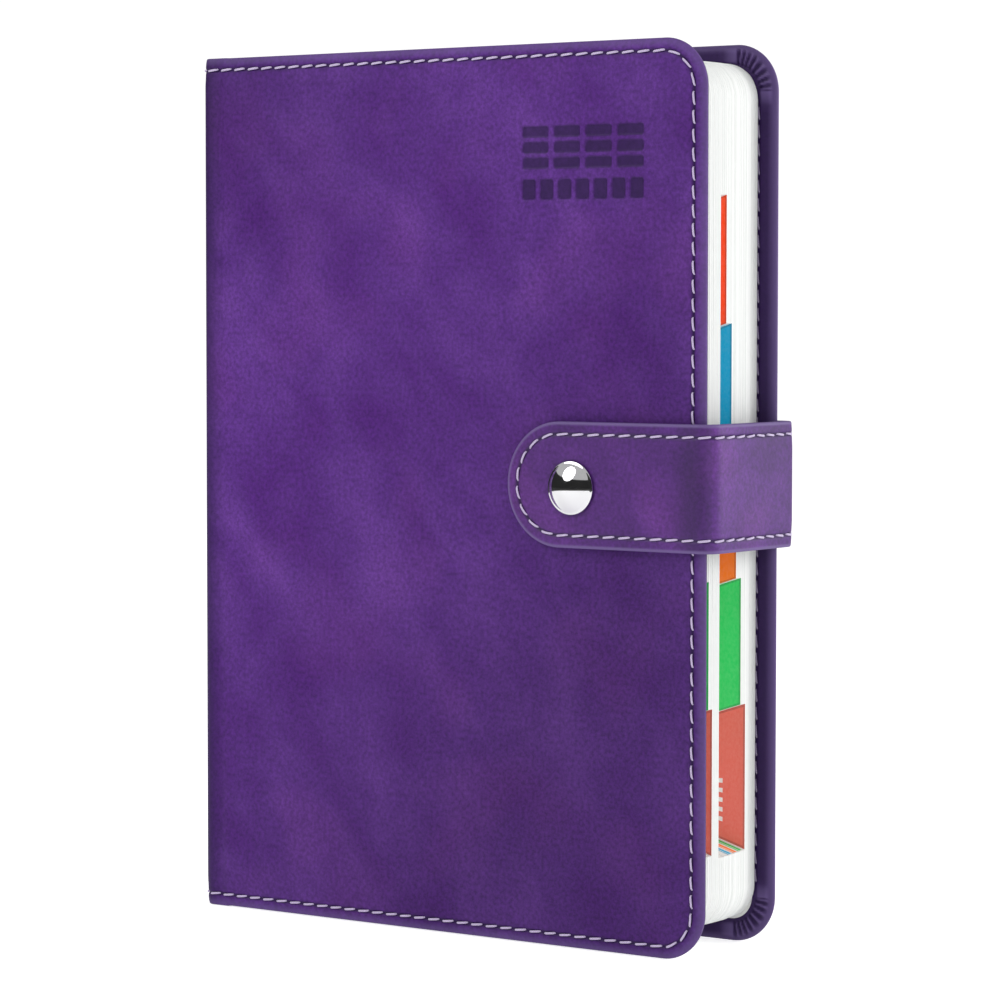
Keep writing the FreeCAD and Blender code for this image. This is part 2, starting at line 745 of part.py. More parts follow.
doc.recompute()
for obj in doc.Objects:
    if "Invalid" in obj.State or "Error" in obj.State:
        raise RuntimeError(f"{obj.Label} failed: {obj.State}")
box = FreeCAD.BoundBox()
for node in NODES:
    if node.Shape.isNull() or not node.Shape.isValid():
        raise RuntimeError(f"{node.Label} has no valid shape")
    box.add(node.Shape.BoundBox)
print(f"{len(NODES)} nodes, box X {box.XMin:.3f} {box.XMax:.3f} Y {box.YMin:.3f} {box.YMax:.3f} "
      f"Z {box.ZMin:.3f} {box.ZMax:.3f}")
os.makedirs("parts", exist_ok=True)
for node in NODES:
    node.Shape.exportStep(f"parts/{node.Label}.step")
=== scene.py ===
import math

import bmesh
import bpy
import numpy as np
from mathutils import Matrix, Vector


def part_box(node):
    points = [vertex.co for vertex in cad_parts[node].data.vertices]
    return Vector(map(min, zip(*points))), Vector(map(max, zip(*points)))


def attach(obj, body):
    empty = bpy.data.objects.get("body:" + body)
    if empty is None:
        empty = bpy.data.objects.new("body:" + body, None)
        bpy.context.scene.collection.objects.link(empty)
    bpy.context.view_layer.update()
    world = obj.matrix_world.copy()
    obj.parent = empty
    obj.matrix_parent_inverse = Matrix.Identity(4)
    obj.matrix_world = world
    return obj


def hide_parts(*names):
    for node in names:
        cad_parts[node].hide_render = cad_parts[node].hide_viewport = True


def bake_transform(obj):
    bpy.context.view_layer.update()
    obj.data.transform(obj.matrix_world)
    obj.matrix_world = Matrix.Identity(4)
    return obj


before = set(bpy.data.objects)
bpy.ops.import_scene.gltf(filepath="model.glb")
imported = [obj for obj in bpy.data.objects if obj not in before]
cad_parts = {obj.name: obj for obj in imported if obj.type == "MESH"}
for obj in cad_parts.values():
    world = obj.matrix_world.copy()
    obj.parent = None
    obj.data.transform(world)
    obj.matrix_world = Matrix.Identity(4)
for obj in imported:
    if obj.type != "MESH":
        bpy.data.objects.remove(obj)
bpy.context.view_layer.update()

# A monthly planner in soft purple leather with a snap strap.
#
# Shapes are worked out in the book frame, in millimetres: X from the spine's outer face to the
# fore-edge, Y from the front cover's outer face to the back cover's, Z up. Each piece is moved
# into the frame when its mesh is made. A mesh keeps its book frame position in "rest", which its
# materials read, so that a pattern stays on a piece that bends.

MM = 0.001
ORIGIN = np.array([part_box("spine_leather")[0].x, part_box("front_cover_leather")[0].y, 0.0])


def book_box(node):
    """Lowest and highest corner of a CAD node, in the book frame."""
    low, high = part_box(node)
    return (np.array(low) - ORIGIN) / MM, (np.array(high) - ORIGIN) / MM


def to_frame(x, y, z):
    """A book frame point as a point of the frame, in metres."""
    return tuple(float(c) for c in np.array([x, y, z]) * MM + ORIGIN)


# ---------------------------------------------------------------- sizes

FORE_EDGE, COVER_DEPTH, HEIGHT = book_box("front_cover_leather")[1]
DEPTH = book_box("back_cover_leather")[1][1]
COVER_CORNER = 11.5
COVER_ROLLS = (2.7, 1.4)            # reach of the rounding on the outer and the inner face
JOINT_END = 8.0
JOINT_GROOVE = 5.8                  # X of the shallow groove beside the spine
SKIN_DEPTH = 0.9
SPINE_SKIN = 1.2
SPINE_CORNER = 3.0
RIM = 5.5
HINGE_BLEND = (3.4, 7.6)            # X where a cover starts to turn, and where it turns fully

STRAP_TIP, STRAP_FRONT, STRAP_LOW = book_box("strap_flap_outer")[0]
STRAP_HIGH = book_box("strap_flap_outer")[1][2]
STRAP_END, STRAP_BACK = book_box("strap_anchor_outer")[0][0], book_box("strap_anchor_outer")[1][1]
STRAP_OUT = book_box("strap_side_outer")[1][0]
BEND_RADIUS = 5.0
TIP_CORNER = (STRAP_HIGH - STRAP_LOW) / 2 - 0.1
ANCHOR_CORNER = 4.0
STRAP_ROLLS = (0.6, 0.5)
OUTER_PLY = (0.0, 1.2)              # depth of a ply's outer face below the strap's, and thickness
LINING_PLY = (1.22, 1.08)
SNAP_X, _, SNAP_Z = sum(book_box("snap_cap")) / 2
SOCKET_HOLE = 4.3                   # radius of the hole in the lining
CAP_POST_HOLE = 1.5                 # radius of the hole in the outer ply
HOLE_REACH = 8.5                    # how far out a hole bends the grid of its ply
SNAP_DISH = (5.2, 2.4)              # radius and width of the ring the cap presses into the flap
SNAP_SHADOW_LINE = (6.3, 0.5)              # and of the painted shadow line round the cap
SEGMENTS = 96                       # of the turned cap

STITCH_PITCH = 4.35
STITCH_INSET = 3.0
INNER_INSET = 4.7
STRAP_INSET = 3.0
GROOVE_DEPTH = 0.3
GROOVE_WIDTH = 0.42
THREAD_WIDTH = 0.56
THREAD_RISE = 0.2                   # half its height
THREAD_CREST = 0.17                 # height of a stitch's middle above the leather
THREAD_DIP = 0.4                    # how far its ends go down
STITCH_SHARE = 0.74                 # length of a stitch as a share of the pitch
STITCH_SLANT = 0.17
STITCH_RING = 8
STITCH_STEPS = np.linspace(-1, 1, 9)

# A pressed calendar: four columns of three cells over a row of seven small squares.
MOTIF_X = (99.6, 134.2)
CELL = (7.5, 2.75)
CELL_PITCH = (9.03, 3.7)
CELL_FOOT = 185.3
DAY = (3.8, 4.9)
DAY_PITCH = 5.13
DAY_FOOT = 178.0
MOTIF_DEPTH = 0.32
MOTIF_GRID = 0.3

PLEATS = 17
PLEAT_DEPTH = 0.5
RIDGE_SHARE = 0.15                  # depth of a fold, up to which its ridge gets a painted highlight
INNER_FACE_SHADE = 0.85                  # painted shade over the leather turned in on a cover's inner face

MONTHS = [
    "january", "february", "march", "april", "may", "june",
    "july", "august", "september", "october", "november", "december",
]
BANK = 6
BLOCK_START = book_box("notes_pages")[0][0]
BLOCK_FOOT, BLOCK_HEAD = book_box("notes_pages")[0][2], book_box("notes_pages")[1][2]
PAGE_CORNER = 9.0
PAGE_BEND = 14                      # how far from its fold line a section straightens out
SHEET_PITCH = 0.13
SHEET_DEPTH = 0.123
PAGE_SWELL = 0.05                   # loose sheets take up most of the gap before the next section
PAPER_CREASE = 30.0
TAB_ROOT = 135.3
TAB_TOP = 207.2
TAB_PITCH = 30.13
TAB_SLOPE = 4.75 / 14.7             # rise of a tab's slanted end towards the fore-edge
TAB_DROP = 1.9
TAB_FOOT = 26.9
TAB_FOOT_STEP = 0.15                # how much lower each earlier month in a bank is cut
TAB_FOOT_SLOPE = -4.25 / 14.7
TAB_BORDER = 0.5
TAB_BAR_U = (0.2, 0.46)             # a blank bar's two ends, as shares of the tab's width
TAB_BARS = [(0.14 + 0.075 * i, 0.175 + 0.075 * i) for i in range(5)]
BLEED = 0.5                         # how deep ink goes into the sheets under a thumb cut
# Stretch of the lower cut where a month's first sheets carry the tab's ink, in the second bank.
INKED_CUTS = {month: (0.3, 0.97) for month in ("september", "october", "november")}
INKED_SHEETS = 9
SHEET_JITTER = 0.06                 # how far short a sheet may fall, and how much darker it may be
SHEET_SHADE = 0.05
BAND_PITCH = 0.9                    # of the threads in a woven band


# ---------------------------------------------------------------- meshes

def make_piece(name, points, faces, materials, face_material=None, crease=35.0, **values):
    """Mesh object from book frame points. values are numbers kept at each point."""
    points = np.asarray(points, float)
    mesh = bpy.data.meshes.new(name)
    mesh.from_pydata((points * MM + ORIGIN).tolist(), [], faces)
    for material in materials:
        mesh.materials.append(material)
    if face_material is not None:
        mesh.polygons.foreach_set("material_index", face_material)
    solid = bmesh.new()
    solid.from_mesh(mesh)
    bmesh.ops.recalc_face_normals(solid, faces=solid.faces)
    solid.to_mesh(mesh)
    solid.free()
    rest = mesh.attributes.new("rest", "FLOAT_VECTOR", "POINT")
    rest.data.foreach_set("vector", points.astype(np.float32).ravel())
    for key, value in values.items():
        kept = mesh.attributes.new(key, "FLOAT", "POINT")
        kept.data.foreach_set("value", np.asarray(value, np.float32))
    mesh.shade_smooth()
    mesh.set_sharp_from_angle(angle=math.radians(crease))
    made = bpy.data.objects.new(name, mesh)
    bpy.context.scene.collection.objects.link(made)
    return made


def spread(*spans):
    """Sorted positions from spans of (start, end, step), without near duplicates."""
    found = set()
    for start, end, step in spans:
        count = max(1, round(abs(end - start) / step))
        found |= {round(float(v), 3) for v in np.linspace(start, end, count + 1)}
    return np.array(sorted(found))


def quarter_turn(step):
    """Angles of a quarter turn. step is in degrees."""
    return [math.radians(a) for a in range(0, 91, step)]


def roll_lines(roll):
    """Distances from an edge that round it evenly."""
    return [(roll * (1 - math.cos(a)),) * 2 + (1.0,) for a in quarter_turn(11)]


def from_both_ends(spans, low, high):
    """Spans that go in from a low edge, and the same from a high edge."""
    return [*[(low + a, low + b, step) for a, b, step in spans],
            *[(high - b, high - a, step) for a, b, step in spans]]


def bump(value, centre, width):
    return np.exp(-(((value - centre) / width) ** 2))


def ease(value, start, end):
    t = np.clip((value - start) / (end - start), 0, 1)
    return t * t * (3 - 2 * t)


def grid_faces(rows, columns):
    """Quads between the points of a grid that is listed row by row."""
    corners = [i * columns + j for i in range(rows - 1) for j in range(columns - 1)]
    return [[a, a + columns, a + columns + 1, a + 1] for a in corners]


def tube_faces(rows, around):
    """Sides and both ends of a tube whose rings are listed one after another."""
    faces = []
    for a in range(0, (rows - 1) * around, around):
        for i in range(around):
            j = (i + 1) % around
            faces.append([a + i, a + j, a + around + j, a + around + i])
    return [*faces, list(range(around)), list(range((rows - 1) * around, rows * around))]


def round_out(e, z, centre_e, centre_z, radius, window):
    """Moves points near a hole so that the square of grid lines round it becomes its circle."""
    u, v = e - centre_e, z - centre_z
    ring = np.maximum(np.abs(u), np.abs(v))
    share = 1 - ease(ring, radius, window)
    scale = 1 + share * (ring / np.maximum(np.hypot(u, v), 1e-6) - 1)
    return centre_e + u * scale, centre_z + v * scale


def within_hole(lines, centre, radius):
    """Which gaps between grid lines lie inside a hole, and the lines on its two sides."""
    inside = np.abs((lines[:-1] + lines[1:]) / 2 - centre) < radius
    first, last = np.flatnonzero(inside)[[0, -1]]
    return inside, first, last + 1


def used_only(points, faces, values):
    """The same mesh without the points that no face uses."""
    used = np.unique(np.concatenate(faces))
    place = np.zeros(len(points), int)
    place[used] = np.arange(len(used))
    faces = [[int(place[k]) for k in face] for face in faces]
    return points[used], faces, {key: value[used] for key, value in values.items()}


def rolled_leaf(name, plan, ply, e_lines, z_lines, corner, rolls, materials, outer, inner, marks,
                hole=None):
    """Closed sheet of leather that follows a plan path, with a rounded free end and rolled edges.

    plan gives the outer face's plan point and inward normal at a distance e from the free end.
    ply is the depth of the leaf's outer face below that path and its thickness, either a number
    or a function of e. outer and inner give how far each face is pressed in. marks gives values
    for the material, each for the outer and the inner face. hole is the centre and radius of a
    round hole, and how far out it bends the grid.
    """
    low, high = z_lines[0], z_lines[-1]
    flat_e, flat_z = np.meshgrid(e_lines, z_lines, indexing="ij")
    to_edge = np.minimum(flat_z - low, high - flat_z)
    border = np.minimum(flat_e, to_edge)
    u, v = 1 - flat_e / corner, 1 - to_edge / corner
    rounded = (u > 0) & (v > 0)
    rho, quarter = np.maximum(u, v), math.pi / 4
    with np.errstate(divide="ignore", invalid="ignore"):
        phi = np.where(u >= v, v / u * quarter, 2 * quarter - u / v * quarter)
    e = np.where(rounded, corner * (1 - rho * np.cos(phi)), flat_e)
    edge = np.where(rounded, corner * (1 - rho * np.sin(phi)), to_edge)
    z = np.where(flat_z < (low + high) / 2, low + edge, high - edge)
    if hole:
        e, z = round_out(e, z, *hole)
    x, y, nx, ny = plan(e)

    offset, thick = ply
    thick = thick(e) if callable(thick) else thick
    out_full, in_full = (np.sqrt(1 - (1 - np.minimum(border / roll, 1)) ** 2) for roll in rolls)
    outer_depth = offset + thick / 2 * (1 - out_full) + out_full * outer(border, x, y, z)
    inner_depth = offset + thick / 2 * (1 + in_full) - in_full * inner(border, x, y, z)
    outside = np.stack([x + nx * outer_depth, y + ny * outer_depth, z], axis=-1)
    inside = np.stack([x + nx * inner_depth, y + ny * inner_depth, z], axis=-1)

    n, m = flat_e.shape
    out_index = np.arange(n * m).reshape(n, m)
    in_index = out_index.copy()
    in_index[1:, 1:-1] = n * m + np.arange((n - 1) * (m - 2)).reshape(n - 1, m - 2)
    points = np.concatenate([outside.reshape(-1, 3), inside[1:, 1:-1].reshape(-1, 3)])
    faces = []
    kept = np.ones((n - 1, m - 1), bool)
    if hole:
        in_e, i0, i1 = within_hole(e_lines, hole[0], hole[2])
        in_z, j0, j1 = within_hole(z_lines, hole[1], hole[2])
        kept = ~(in_e[:, None] & in_z[None, :])
        ring = [*[(i, j0) for i in range(i0, i1)], *[(i1, j) for j in range(j0, j1)],
                *[(i, j1) for i in range(i1, i0, -1)], *[(i0, j) for j in range(j1, j0, -1)]]
        for a, b in zip(ring, ring[1:] + ring[:1]):
            faces.append([int(k) for k in (out_index[a], out_index[b], in_index[b], in_index[a])])
    for grid in (out_index, in_index):
        quads = [grid[:-1, :-1], grid[1:, :-1], grid[1:, 1:], grid[:-1, 1:]]
        faces += np.stack([q[kept] for q in quads], axis=1).tolist()
    for j in range(m - 1):
        ring = [out_index[-1, j], out_index[-1, j + 1], in_index[-1, j + 1], in_index[-1, j]]
        faces.append([int(k) for k in dict.fromkeys(ring)])
    values = {}
    for key, (mark, within) in marks(border, x, y, z).items():
        values[key] = np.concatenate([mark.ravel(), within[1:, 1:-1].ravel()])
    points, faces, values = used_only(points, faces, values)
    return make_piece(name, points, faces, materials, **values)


def slab(faces, y_front, y_back, inked_edges=False):
    """Corners, faces and colours of a solid over flat polygons that share their corners."""
    index, corners, loops, edges = {}, [], [], {}
    for polygon, colour in faces:
        loop = []
        for x, z in polygon:
            key = (round(float(x), 4), round(float(z), 4))
            if key not in index:
                index[key] = len(corners)
                corners.append(key)
            loop.append(index[key])
        loops.append((loop, colour))
        edges.update({(a, b): colour for a, b in zip(loop, loop[1:] + loop[:1])})
    n = len(corners)
    solid = loops + [([i + n for i in reversed(loop)], colour) for loop, colour in loops]
    for (a, b), colour in edges.items():
        if (b, a) not in edges:
            solid.append(([a, a + n, b + n, b], colour if inked_edges else 0))
    points = [(x, y_front, z) for x, z in corners] + [(x, y_back, z) for x, z in corners]
    return points, [f for f, _ in solid], [c for _, c in solid]


def join_solids(parts):
    """One point list, face list and colour list from several solids."""
    points, faces, colours = [], [], []
    for part_points, part_faces, part_colours in parts:
        shift = len(points)
        points += part_points
        faces += [[i + shift for i in face] for face in part_faces]
        colours += part_colours
    return points, faces, colours


def lathe(name, profile, material, seat):
    """Turned piece on the snap's axis. profile is radius and height pairs, from axis to axis."""
    points, faces, rings = [], [], []
    for radius, height in profile:
        if radius == 0:
            rings.append([len(points)] * SEGMENTS)
            points.append((SNAP_X, seat - height, SNAP_Z))
            continue
        rings.append(list(range(len(points), len(points) + SEGMENTS)))
        for i in range(SEGMENTS):
            turn = math.tau * i / SEGMENTS
            points.append((SNAP_X + radius * math.cos(turn), seat - height,
                           SNAP_Z + radius * math.sin(turn)))
    for below, above in zip(rings, rings[1:]):
        for i in range(SEGMENTS):
            j = (i + 1) % SEGMENTS
            faces.append(list(dict.fromkeys([below[i], below[j], above[j], above[i]])))
    return make_piece(name, points, faces, [material])


# ---------------------------------------------------------------- materials

def linear(r, g, b):
    """Screen colour, 0 to 255, as the linear colour that a shader takes."""
    def channel(c):
        c /= 255
        return c / 12.92 if c <= 0.04045 else ((c + 0.055) / 1.055) ** 2.4
    return (channel(r), channel(g), channel(b), 1.0)


def add(tree, kind, inputs=None, **settings):
    made = tree.nodes.new(kind)
    for key, value in settings.items():
        setattr(made, key, value)
    for key, value in (inputs or {}).items():
        if isinstance(value, bpy.types.NodeSocket):
            tree.links.new(value, made.inputs[key])
        else:
            made.inputs[key].default_value = value
    return made


def new_material(name, **shader):
    """Material with a Principled shader whose constant values are set on its own sockets."""
    material = bpy.data.materials.new(name)
    material.use_nodes = True
    principled = material.node_tree.nodes["Principled BSDF"]
    for key, value in shader.items():
        principled.inputs[key.replace("_", " ")].default_value = value
    return material, material.node_tree, principled


def place_of(tree, on_cad=False):
    """Position in millimetres: from the object on a CAD node, from "rest" on a piece."""
    if on_cad:
        return stretched(tree, add(tree, "ShaderNodeTexCoord").outputs["Object"], (1 / MM,) * 3)
    return add(tree, "ShaderNodeAttribute", attribute_name="rest").outputs["Vector"]


def stretched(tree, place, factors):
    inputs = {0: place, 1: factors}
    return add(tree, "ShaderNodeVectorMath", inputs, operation="MULTIPLY").outputs[0]


def noise(tree, place, size, detail=2.0, roughness=0.5, distortion=0.0):
    """Noise whose features are about size millimetres across."""
    inputs = {"Vector": place, "Scale": 1 / size, "Detail": detail, "Roughness": roughness,
              "Distortion": distortion}
    return add(tree, "ShaderNodeTexNoise", inputs).outputs["Fac"]


def streaks(tree, place, factors, size, roughness):
    """Noise that is drawn out in one direction."""
    return noise(tree, stretched(tree, place, factors), size, detail=4.0, roughness=roughness)


def times(tree, a, b):
    return add(tree, "ShaderNodeMath", {0: a, 1: b}, operation="MULTIPLY").outputs[0]


def weighted(tree, a, a_share, b, b_share):
    """Sum of two values, each times its share."""
    shares = {0: times(tree, a, a_share), 1: times(tree, b, b_share)}
    return add(tree, "ShaderNodeMath", shares, operation="ADD").outputs[0]


def remap(tree, value, low, high, to_low, to_high):
    inputs = {"Value": value, "From Min": low, "From Max": high, "To Min": to_low,
              "To Max": to_high}
    return add(tree, "ShaderNodeMapRange", inputs).outputs["Result"]


def blend_colour(tree, factor, a, b, mode="MIX"):
    mixed = add(tree, "ShaderNodeMix", {0: factor, 6: a, 7: b}, data_type="RGBA", blend_type=mode)
    return mixed.outputs[2]


def ramp(tree, factor, *stops):
    made = add(tree, "ShaderNodeValToRGB", {"Fac": factor})
    elements = made.color_ramp.elements
    while len(elements) < len(stops):
        elements.new(0.5)
    for element, (position, colour) in zip(elements, stops):
        element.position = position
        element.color = colour
    return made.outputs["Color"]


def shaded(tree, colour, grey):
    """A colour times a grey value."""
    grey = add(tree, "ShaderNodeCombineColor", {0: grey, 1: grey, 2: grey}).outputs[0]
    return blend_colour(tree, 1.0, colour, grey, "MULTIPLY")


def ramp_between(tree, factor, first, second):
    """Smooth mix of two colours as a noise goes from its low to its high values."""
    return blend_colour(tree, remap(tree, factor, 0.3, 0.7, 0.0, 1.0), first, second)


def attribute(tree, name):
    return add(tree, "ShaderNodeAttribute", attribute_name=name).outputs["Fac"]


def dressed(material, colour, height, depth_mm, strength):
    """The material with its colour and its relief linked up."""
    tree, shader = material.node_tree, material.node_tree.nodes["Principled BSDF"]
    tree.links.new(colour, shader.inputs["Base Color"])
    inputs = {"Height": height, "Distance": depth_mm * MM, "Strength": strength}
    bumped = add(tree, "ShaderNodeBump", inputs)
    tree.links.new(bumped.outputs["Normal"], shader.inputs["Normal"])
    return material


PAINTED_FALLOFF_SIZE = 170.0                   # painted light falloff: slow change of brightness over a whole cover
# Dark colour of the pressed motif and of painted shade in grooves, folds, turns and round the snap.
DEBOSS_AND_SHADE_COLOUR = linear(38, 21, 64)
# Pale colour of rubbed and edge-painted edges, of painted sheen on rolled edges and of painted
# highlights on pleat ridges.
PALE_EDGE_AND_SHEEN = linear(112, 92, 146)


def leather(name, dark, middle, light, patch=30.0, roughness=0.5, specular=0.4, shift=(0, 0, 0)):
    """Soft mottled leather: cloudy patches, fine buffed nap and pores, a broad painted light
    falloff, darkened marks of painted shade and of the pressed motif, and a pale rim of rubbed wear
    with painted sheen and highlights.
    """
    material, tree, _ = new_material(name, Roughness=roughness, Specular_IOR_Level=specular)
    place = place_of(tree)
    inputs = {"Vector": place, "Location": shift, "Rotation": (0.0, 0.7, 0.0)}
    leaning = add(tree, "ShaderNodeMapping", inputs).outputs[0]
    drawn_out = stretched(tree, leaning, (1.25, 1.0, 0.7))
    clouds = noise(tree, drawn_out, patch, detail=3.0, distortion=0.3)
    smears = noise(tree, place, patch / 3.0)
    cloudy = weighted(tree, clouds, 0.78, smears, 0.22)
    colour = ramp(tree, cloudy, (0.34, dark), (0.5, middle), (0.68, light))
    flush = tuple(a * b for a, b in zip(light, (1.12, 0.92, 0.94, 1.0)))
    warm = noise(tree, leaning, patch * 0.8, detail=1.0)
    colour = blend_colour(tree, remap(tree, warm, 0.52, 0.72, 0.0, 0.3), colour, flush)
    # Painted light falloff: the colour is made slowly brighter and darker over a whole cover.
    painted_falloff = noise(tree, leaning, PAINTED_FALLOFF_SIZE, detail=0.0)
    nap = noise(tree, place, 0.95, roughness=0.6)
    nap_and_painted_falloff = times(tree, remap(tree, nap, 0.3, 0.7, 0.72, 1.25),
                  remap(tree, painted_falloff, 0.3, 0.7, 0.78, 1.2))
    colour = shaded(tree, colour, nap_and_painted_falloff)
    # Darkened where a piece's mark asks: painted shade, and the darker pressed motif.
    colour = blend_colour(tree, attribute(tree, "press"), colour, DEBOSS_AND_SHADE_COLOUR)
    # Made pale at the rim: rubbed wear with painted sheen, and painted highlights on pleat ridges.
    colour = blend_colour(tree, attribute(tree, "rim"), colour, PALE_EDGE_AND_SHEEN)
    pores = noise(tree, place, 0.38, detail=3.0, roughness=0.6)
    creases = noise(tree, place, 2.4)
    return dressed(material, colour, weighted(tree, pores, 0.6, creases, 0.8), 0.07, 0.55)


def thread(name, colour, shade):
    """Twisted sewing thread: slanting strands with fine fuzz."""
    material, tree, _ = new_material(
        name, Roughness=0.55, Specular_IOR_Level=0.35, Sheen_Weight=0.25, Sheen_Roughness=0.4)
    place = place_of(tree)
    wave = {"Vector": place, "Scale": 1.1, "Distortion": 0.6, "Detail": 1.0, "Detail Scale": 2.0}
    strands = add(tree, "ShaderNodeTexWave", wave, bands_direction="DIAGONAL").outputs["Fac"]
    fuzz = noise(tree, place, 0.35)
    mixed = times(tree, strands, remap(tree, fuzz, 0.3, 0.7, 0.6, 1.0))
    twisted = ramp(tree, mixed, (0.0, shade), (0.45, colour), (1.0, colour))
    return dressed(material, twisted, mixed, 0.05, 0.6)


def paper(name, colour, on_cad=False, fibre=0.035):
    """Uncoated book paper: faint fibres and a slightly uneven tone from sheet to sheet."""
    material, tree, _ = new_material(name, Roughness=0.78, Specular_IOR_Level=0.25)
    place = place_of(tree, on_cad)
    fibres = streaks(tree, place, (1.0, 3.0, 0.6), 0.9, 0.65)
    tone = remap(tree, fibres, 0.3, 0.7, 1.0 - fibre, 1.0)
    if not on_cad:
        tone = times(tree, tone, attribute(tree, "tone"))
    return dressed(material, shaded(tree, colour, tone), fibres, 0.012, 0.5)


def ink(name, colour):
    """Flat bright printing ink on an index tab, with the paper's fibres showing faintly through,
    and a faint glow of painted light.
    """
    # The faint emission is painted light that brightens the tabs and the inked sheet edges down in
    # the thumb cuts.
    material, tree, _ = new_material(
        name, Roughness=0.55, Specular_IOR_Level=0.3, Emission_Color=colour, Emission_Strength=0.15)
    fibres = streaks(tree, place_of(tree), (1.0, 2.0, 0.7), 0.7, 0.7)
    paler = blend_colour(tree, 0.07, colour, (1.0, 1.0, 1.0, 1.0))
    return dressed(material, ramp_between(tree, fibres, colour, paler), fibres, 0.01, 0.4)


def woven(name, warp, weft, on_cad=False):
    """Fine cloth of two thread colours crossing."""
    material, tree, _ = new_material(
        name, Roughness=0.8, Sheen_Weight=0.3, Sheen_Roughness=0.5)
    place = place_of(tree, on_cad)
    wave = {"Vector": place, "Scale": math.tau / BAND_PITCH / 20}
    across, along = (add(tree, "ShaderNodeTexWave", wave, bands_direction=way).outputs["Fac"]
                     for way in "YZ")
    crossing = times(tree, across, remap(tree, along, 0.0, 1.0, 0.6, 1.0))
    return dressed(material, ramp_between(tree, crossing, weft, warp), crossing, 0.08, 0.8)


def speckled(name, base, fleck, size, roughness, specular=0.3):
    """Board or glue of a CAD node, with flecks of another colour."""
    material, tree, _ = new_material(name, Roughness=roughness, Specular_IOR_Level=specular)
    flecks = noise(tree, place_of(tree, on_cad=True), size, detail=5.0, roughness=0.7)
    return dressed(material, ramp_between(tree, flecks, base, fleck), flecks, 0.03, 0.5)


def metal(name, colour, roughness, scuff, on_cad=False):
    """Plated metal: fine polishing scuffs change its gloss and tint a little."""
    material, tree, shader = new_material(name, Metallic=1.0)
    scuffs = streaks(tree, place_of(tree, on_cad), (3.0, 3.0, 0.8), 0.9, 0.6)
    gloss = remap(tree, scuffs, 0.35, 0.7, roughness, roughness + scuff)
    tree.links.new(gloss, shader.inputs["Roughness"])
    darker = tuple(0.93 * c for c in colour[:3]) + (1.0,)
    return dressed(material, ramp_between(tree, scuffs, colour, darker), scuffs, 0.002, 0.3)


COVER_LEATHER = leather(
    "cover_leather_soft", linear(72, 25, 110), linear(81, 39, 121), linear(95, 52, 136),
    specular=0.2, shift=(316.0, 298.0, -385.0))
STRAP_LEATHER = leather(
    "strap_leather_soft", linear(73, 31, 107), linear(82, 36, 119), linear(97, 47, 135), patch=22.0)
LINING = leather("lining_leather", linear(62, 34, 92), linear(68, 38, 100), linear(78, 46, 112),
                 patch=14.0, roughness=0.75)
THREAD = thread("twisted_thread", linear(211, 196, 228), linear(184, 168, 205))
# A darker copy of the thread for stitches on inner faces: painted shade.
SHADED_THREAD = thread("thread_in_painted_shade", linear(150, 138, 166), linear(108, 96, 126))
PAGE = paper("page_paper_white", linear(246, 248, 246))
LEAF = paper("tab_paper_white", linear(248, 249, 247))
ENDPAPER = paper("endpaper_white", linear(240, 240, 238), on_cad=True, fibre=0.06)
FLYLEAF = paper("flyleaf_white", linear(240, 240, 238), fibre=0.06)
GREYBOARD = speckled("greyboard", linear(150, 146, 138), linear(112, 108, 102), 0.8, 0.9)
GLUE = speckled("hot_melt_glue", linear(226, 220, 198), linear(206, 198, 170), 2.5, 0.4,
                specular=0.5)
MULL = woven("open_mull", linear(222, 217, 204), linear(176, 170, 154), on_cad=True)
BAND = woven("head_band", linear(236, 234, 240), linear(120, 90, 160))
CHROME = metal("polished_chrome", linear(246, 246, 248), 0.04, 0.05)
PLATED = metal("plated_steel", linear(196, 197, 202), 0.22, 0.14, on_cad=True)

# Ink of each tab in a bank, first month first.
TAB_COLOURS = [
    (245, 185, 40), (255, 80, 20), (0, 172, 214), (255, 126, 28), (40, 206, 98), (222, 104, 88),
]
TAB_INKS = []
for number, colour in enumerate(TAB_COLOURS, start=1):
    # A darker copy of each ink for the tab's border: painted shade.
    border_shade = tuple(0.85 * c for c in colour)
    TAB_INKS.append((ink(f"tab_ink_glowing_{number}", linear(*colour)),
                     ink(f"tab_border_shade_{number}", linear(*border_shade))))


# ---------------------------------------------------------------- cover skins

def bent_plan(start, end, radius, near, far, back):
    """Outer face of a leaf that runs along X and turns in round a corner, as a function of the
    distance from its free end, and its length to the middle between the two covers' sides."""
    way = 1 if end > start else -1
    flat = abs(end - start) - radius
    arc = radius * math.pi / 2

    def plan(e):
        turn = np.clip((e - flat) / radius, 0, math.pi / 2)
        x = np.where(e < flat, start + way * e, end - way * radius * (1 - np.sin(turn)))
        y = radius * (1 - np.cos(turn)) + np.maximum(e - flat - arc, 0)
        nx, ny = -way * np.sin(turn), np.cos(turn)
        if back:
            return x, far - y, nx, -ny
        return x, near + y, nx, ny

    return plan, flat + arc + (far - near) / 2 - radius


def cover_plan(back):
    return bent_plan(FORE_EDGE, 0.0, SPINE_CORNER, 0.0, DEPTH, back)


def cover_thickness(e):
    x = FORE_EDGE - e
    return SPINE_SKIN + (COVER_DEPTH - SPINE_SKIN) * ease(x, JOINT_END - 0.4, JOINT_END + 0.4)


def undulation(x, z):
    """Slow unevenness of soft leather over its board."""
    broad = np.sin(x / 19 + z / 41 + 0.7) * np.sin(z / 27 - x / 60)
    narrow = np.sin(x / 9 - z / 15 + 2.1) * np.sin(z / 11 + x / 31 + 0.4)
    return 0.07 * (broad + 1) + 0.03 * (narrow + 1)


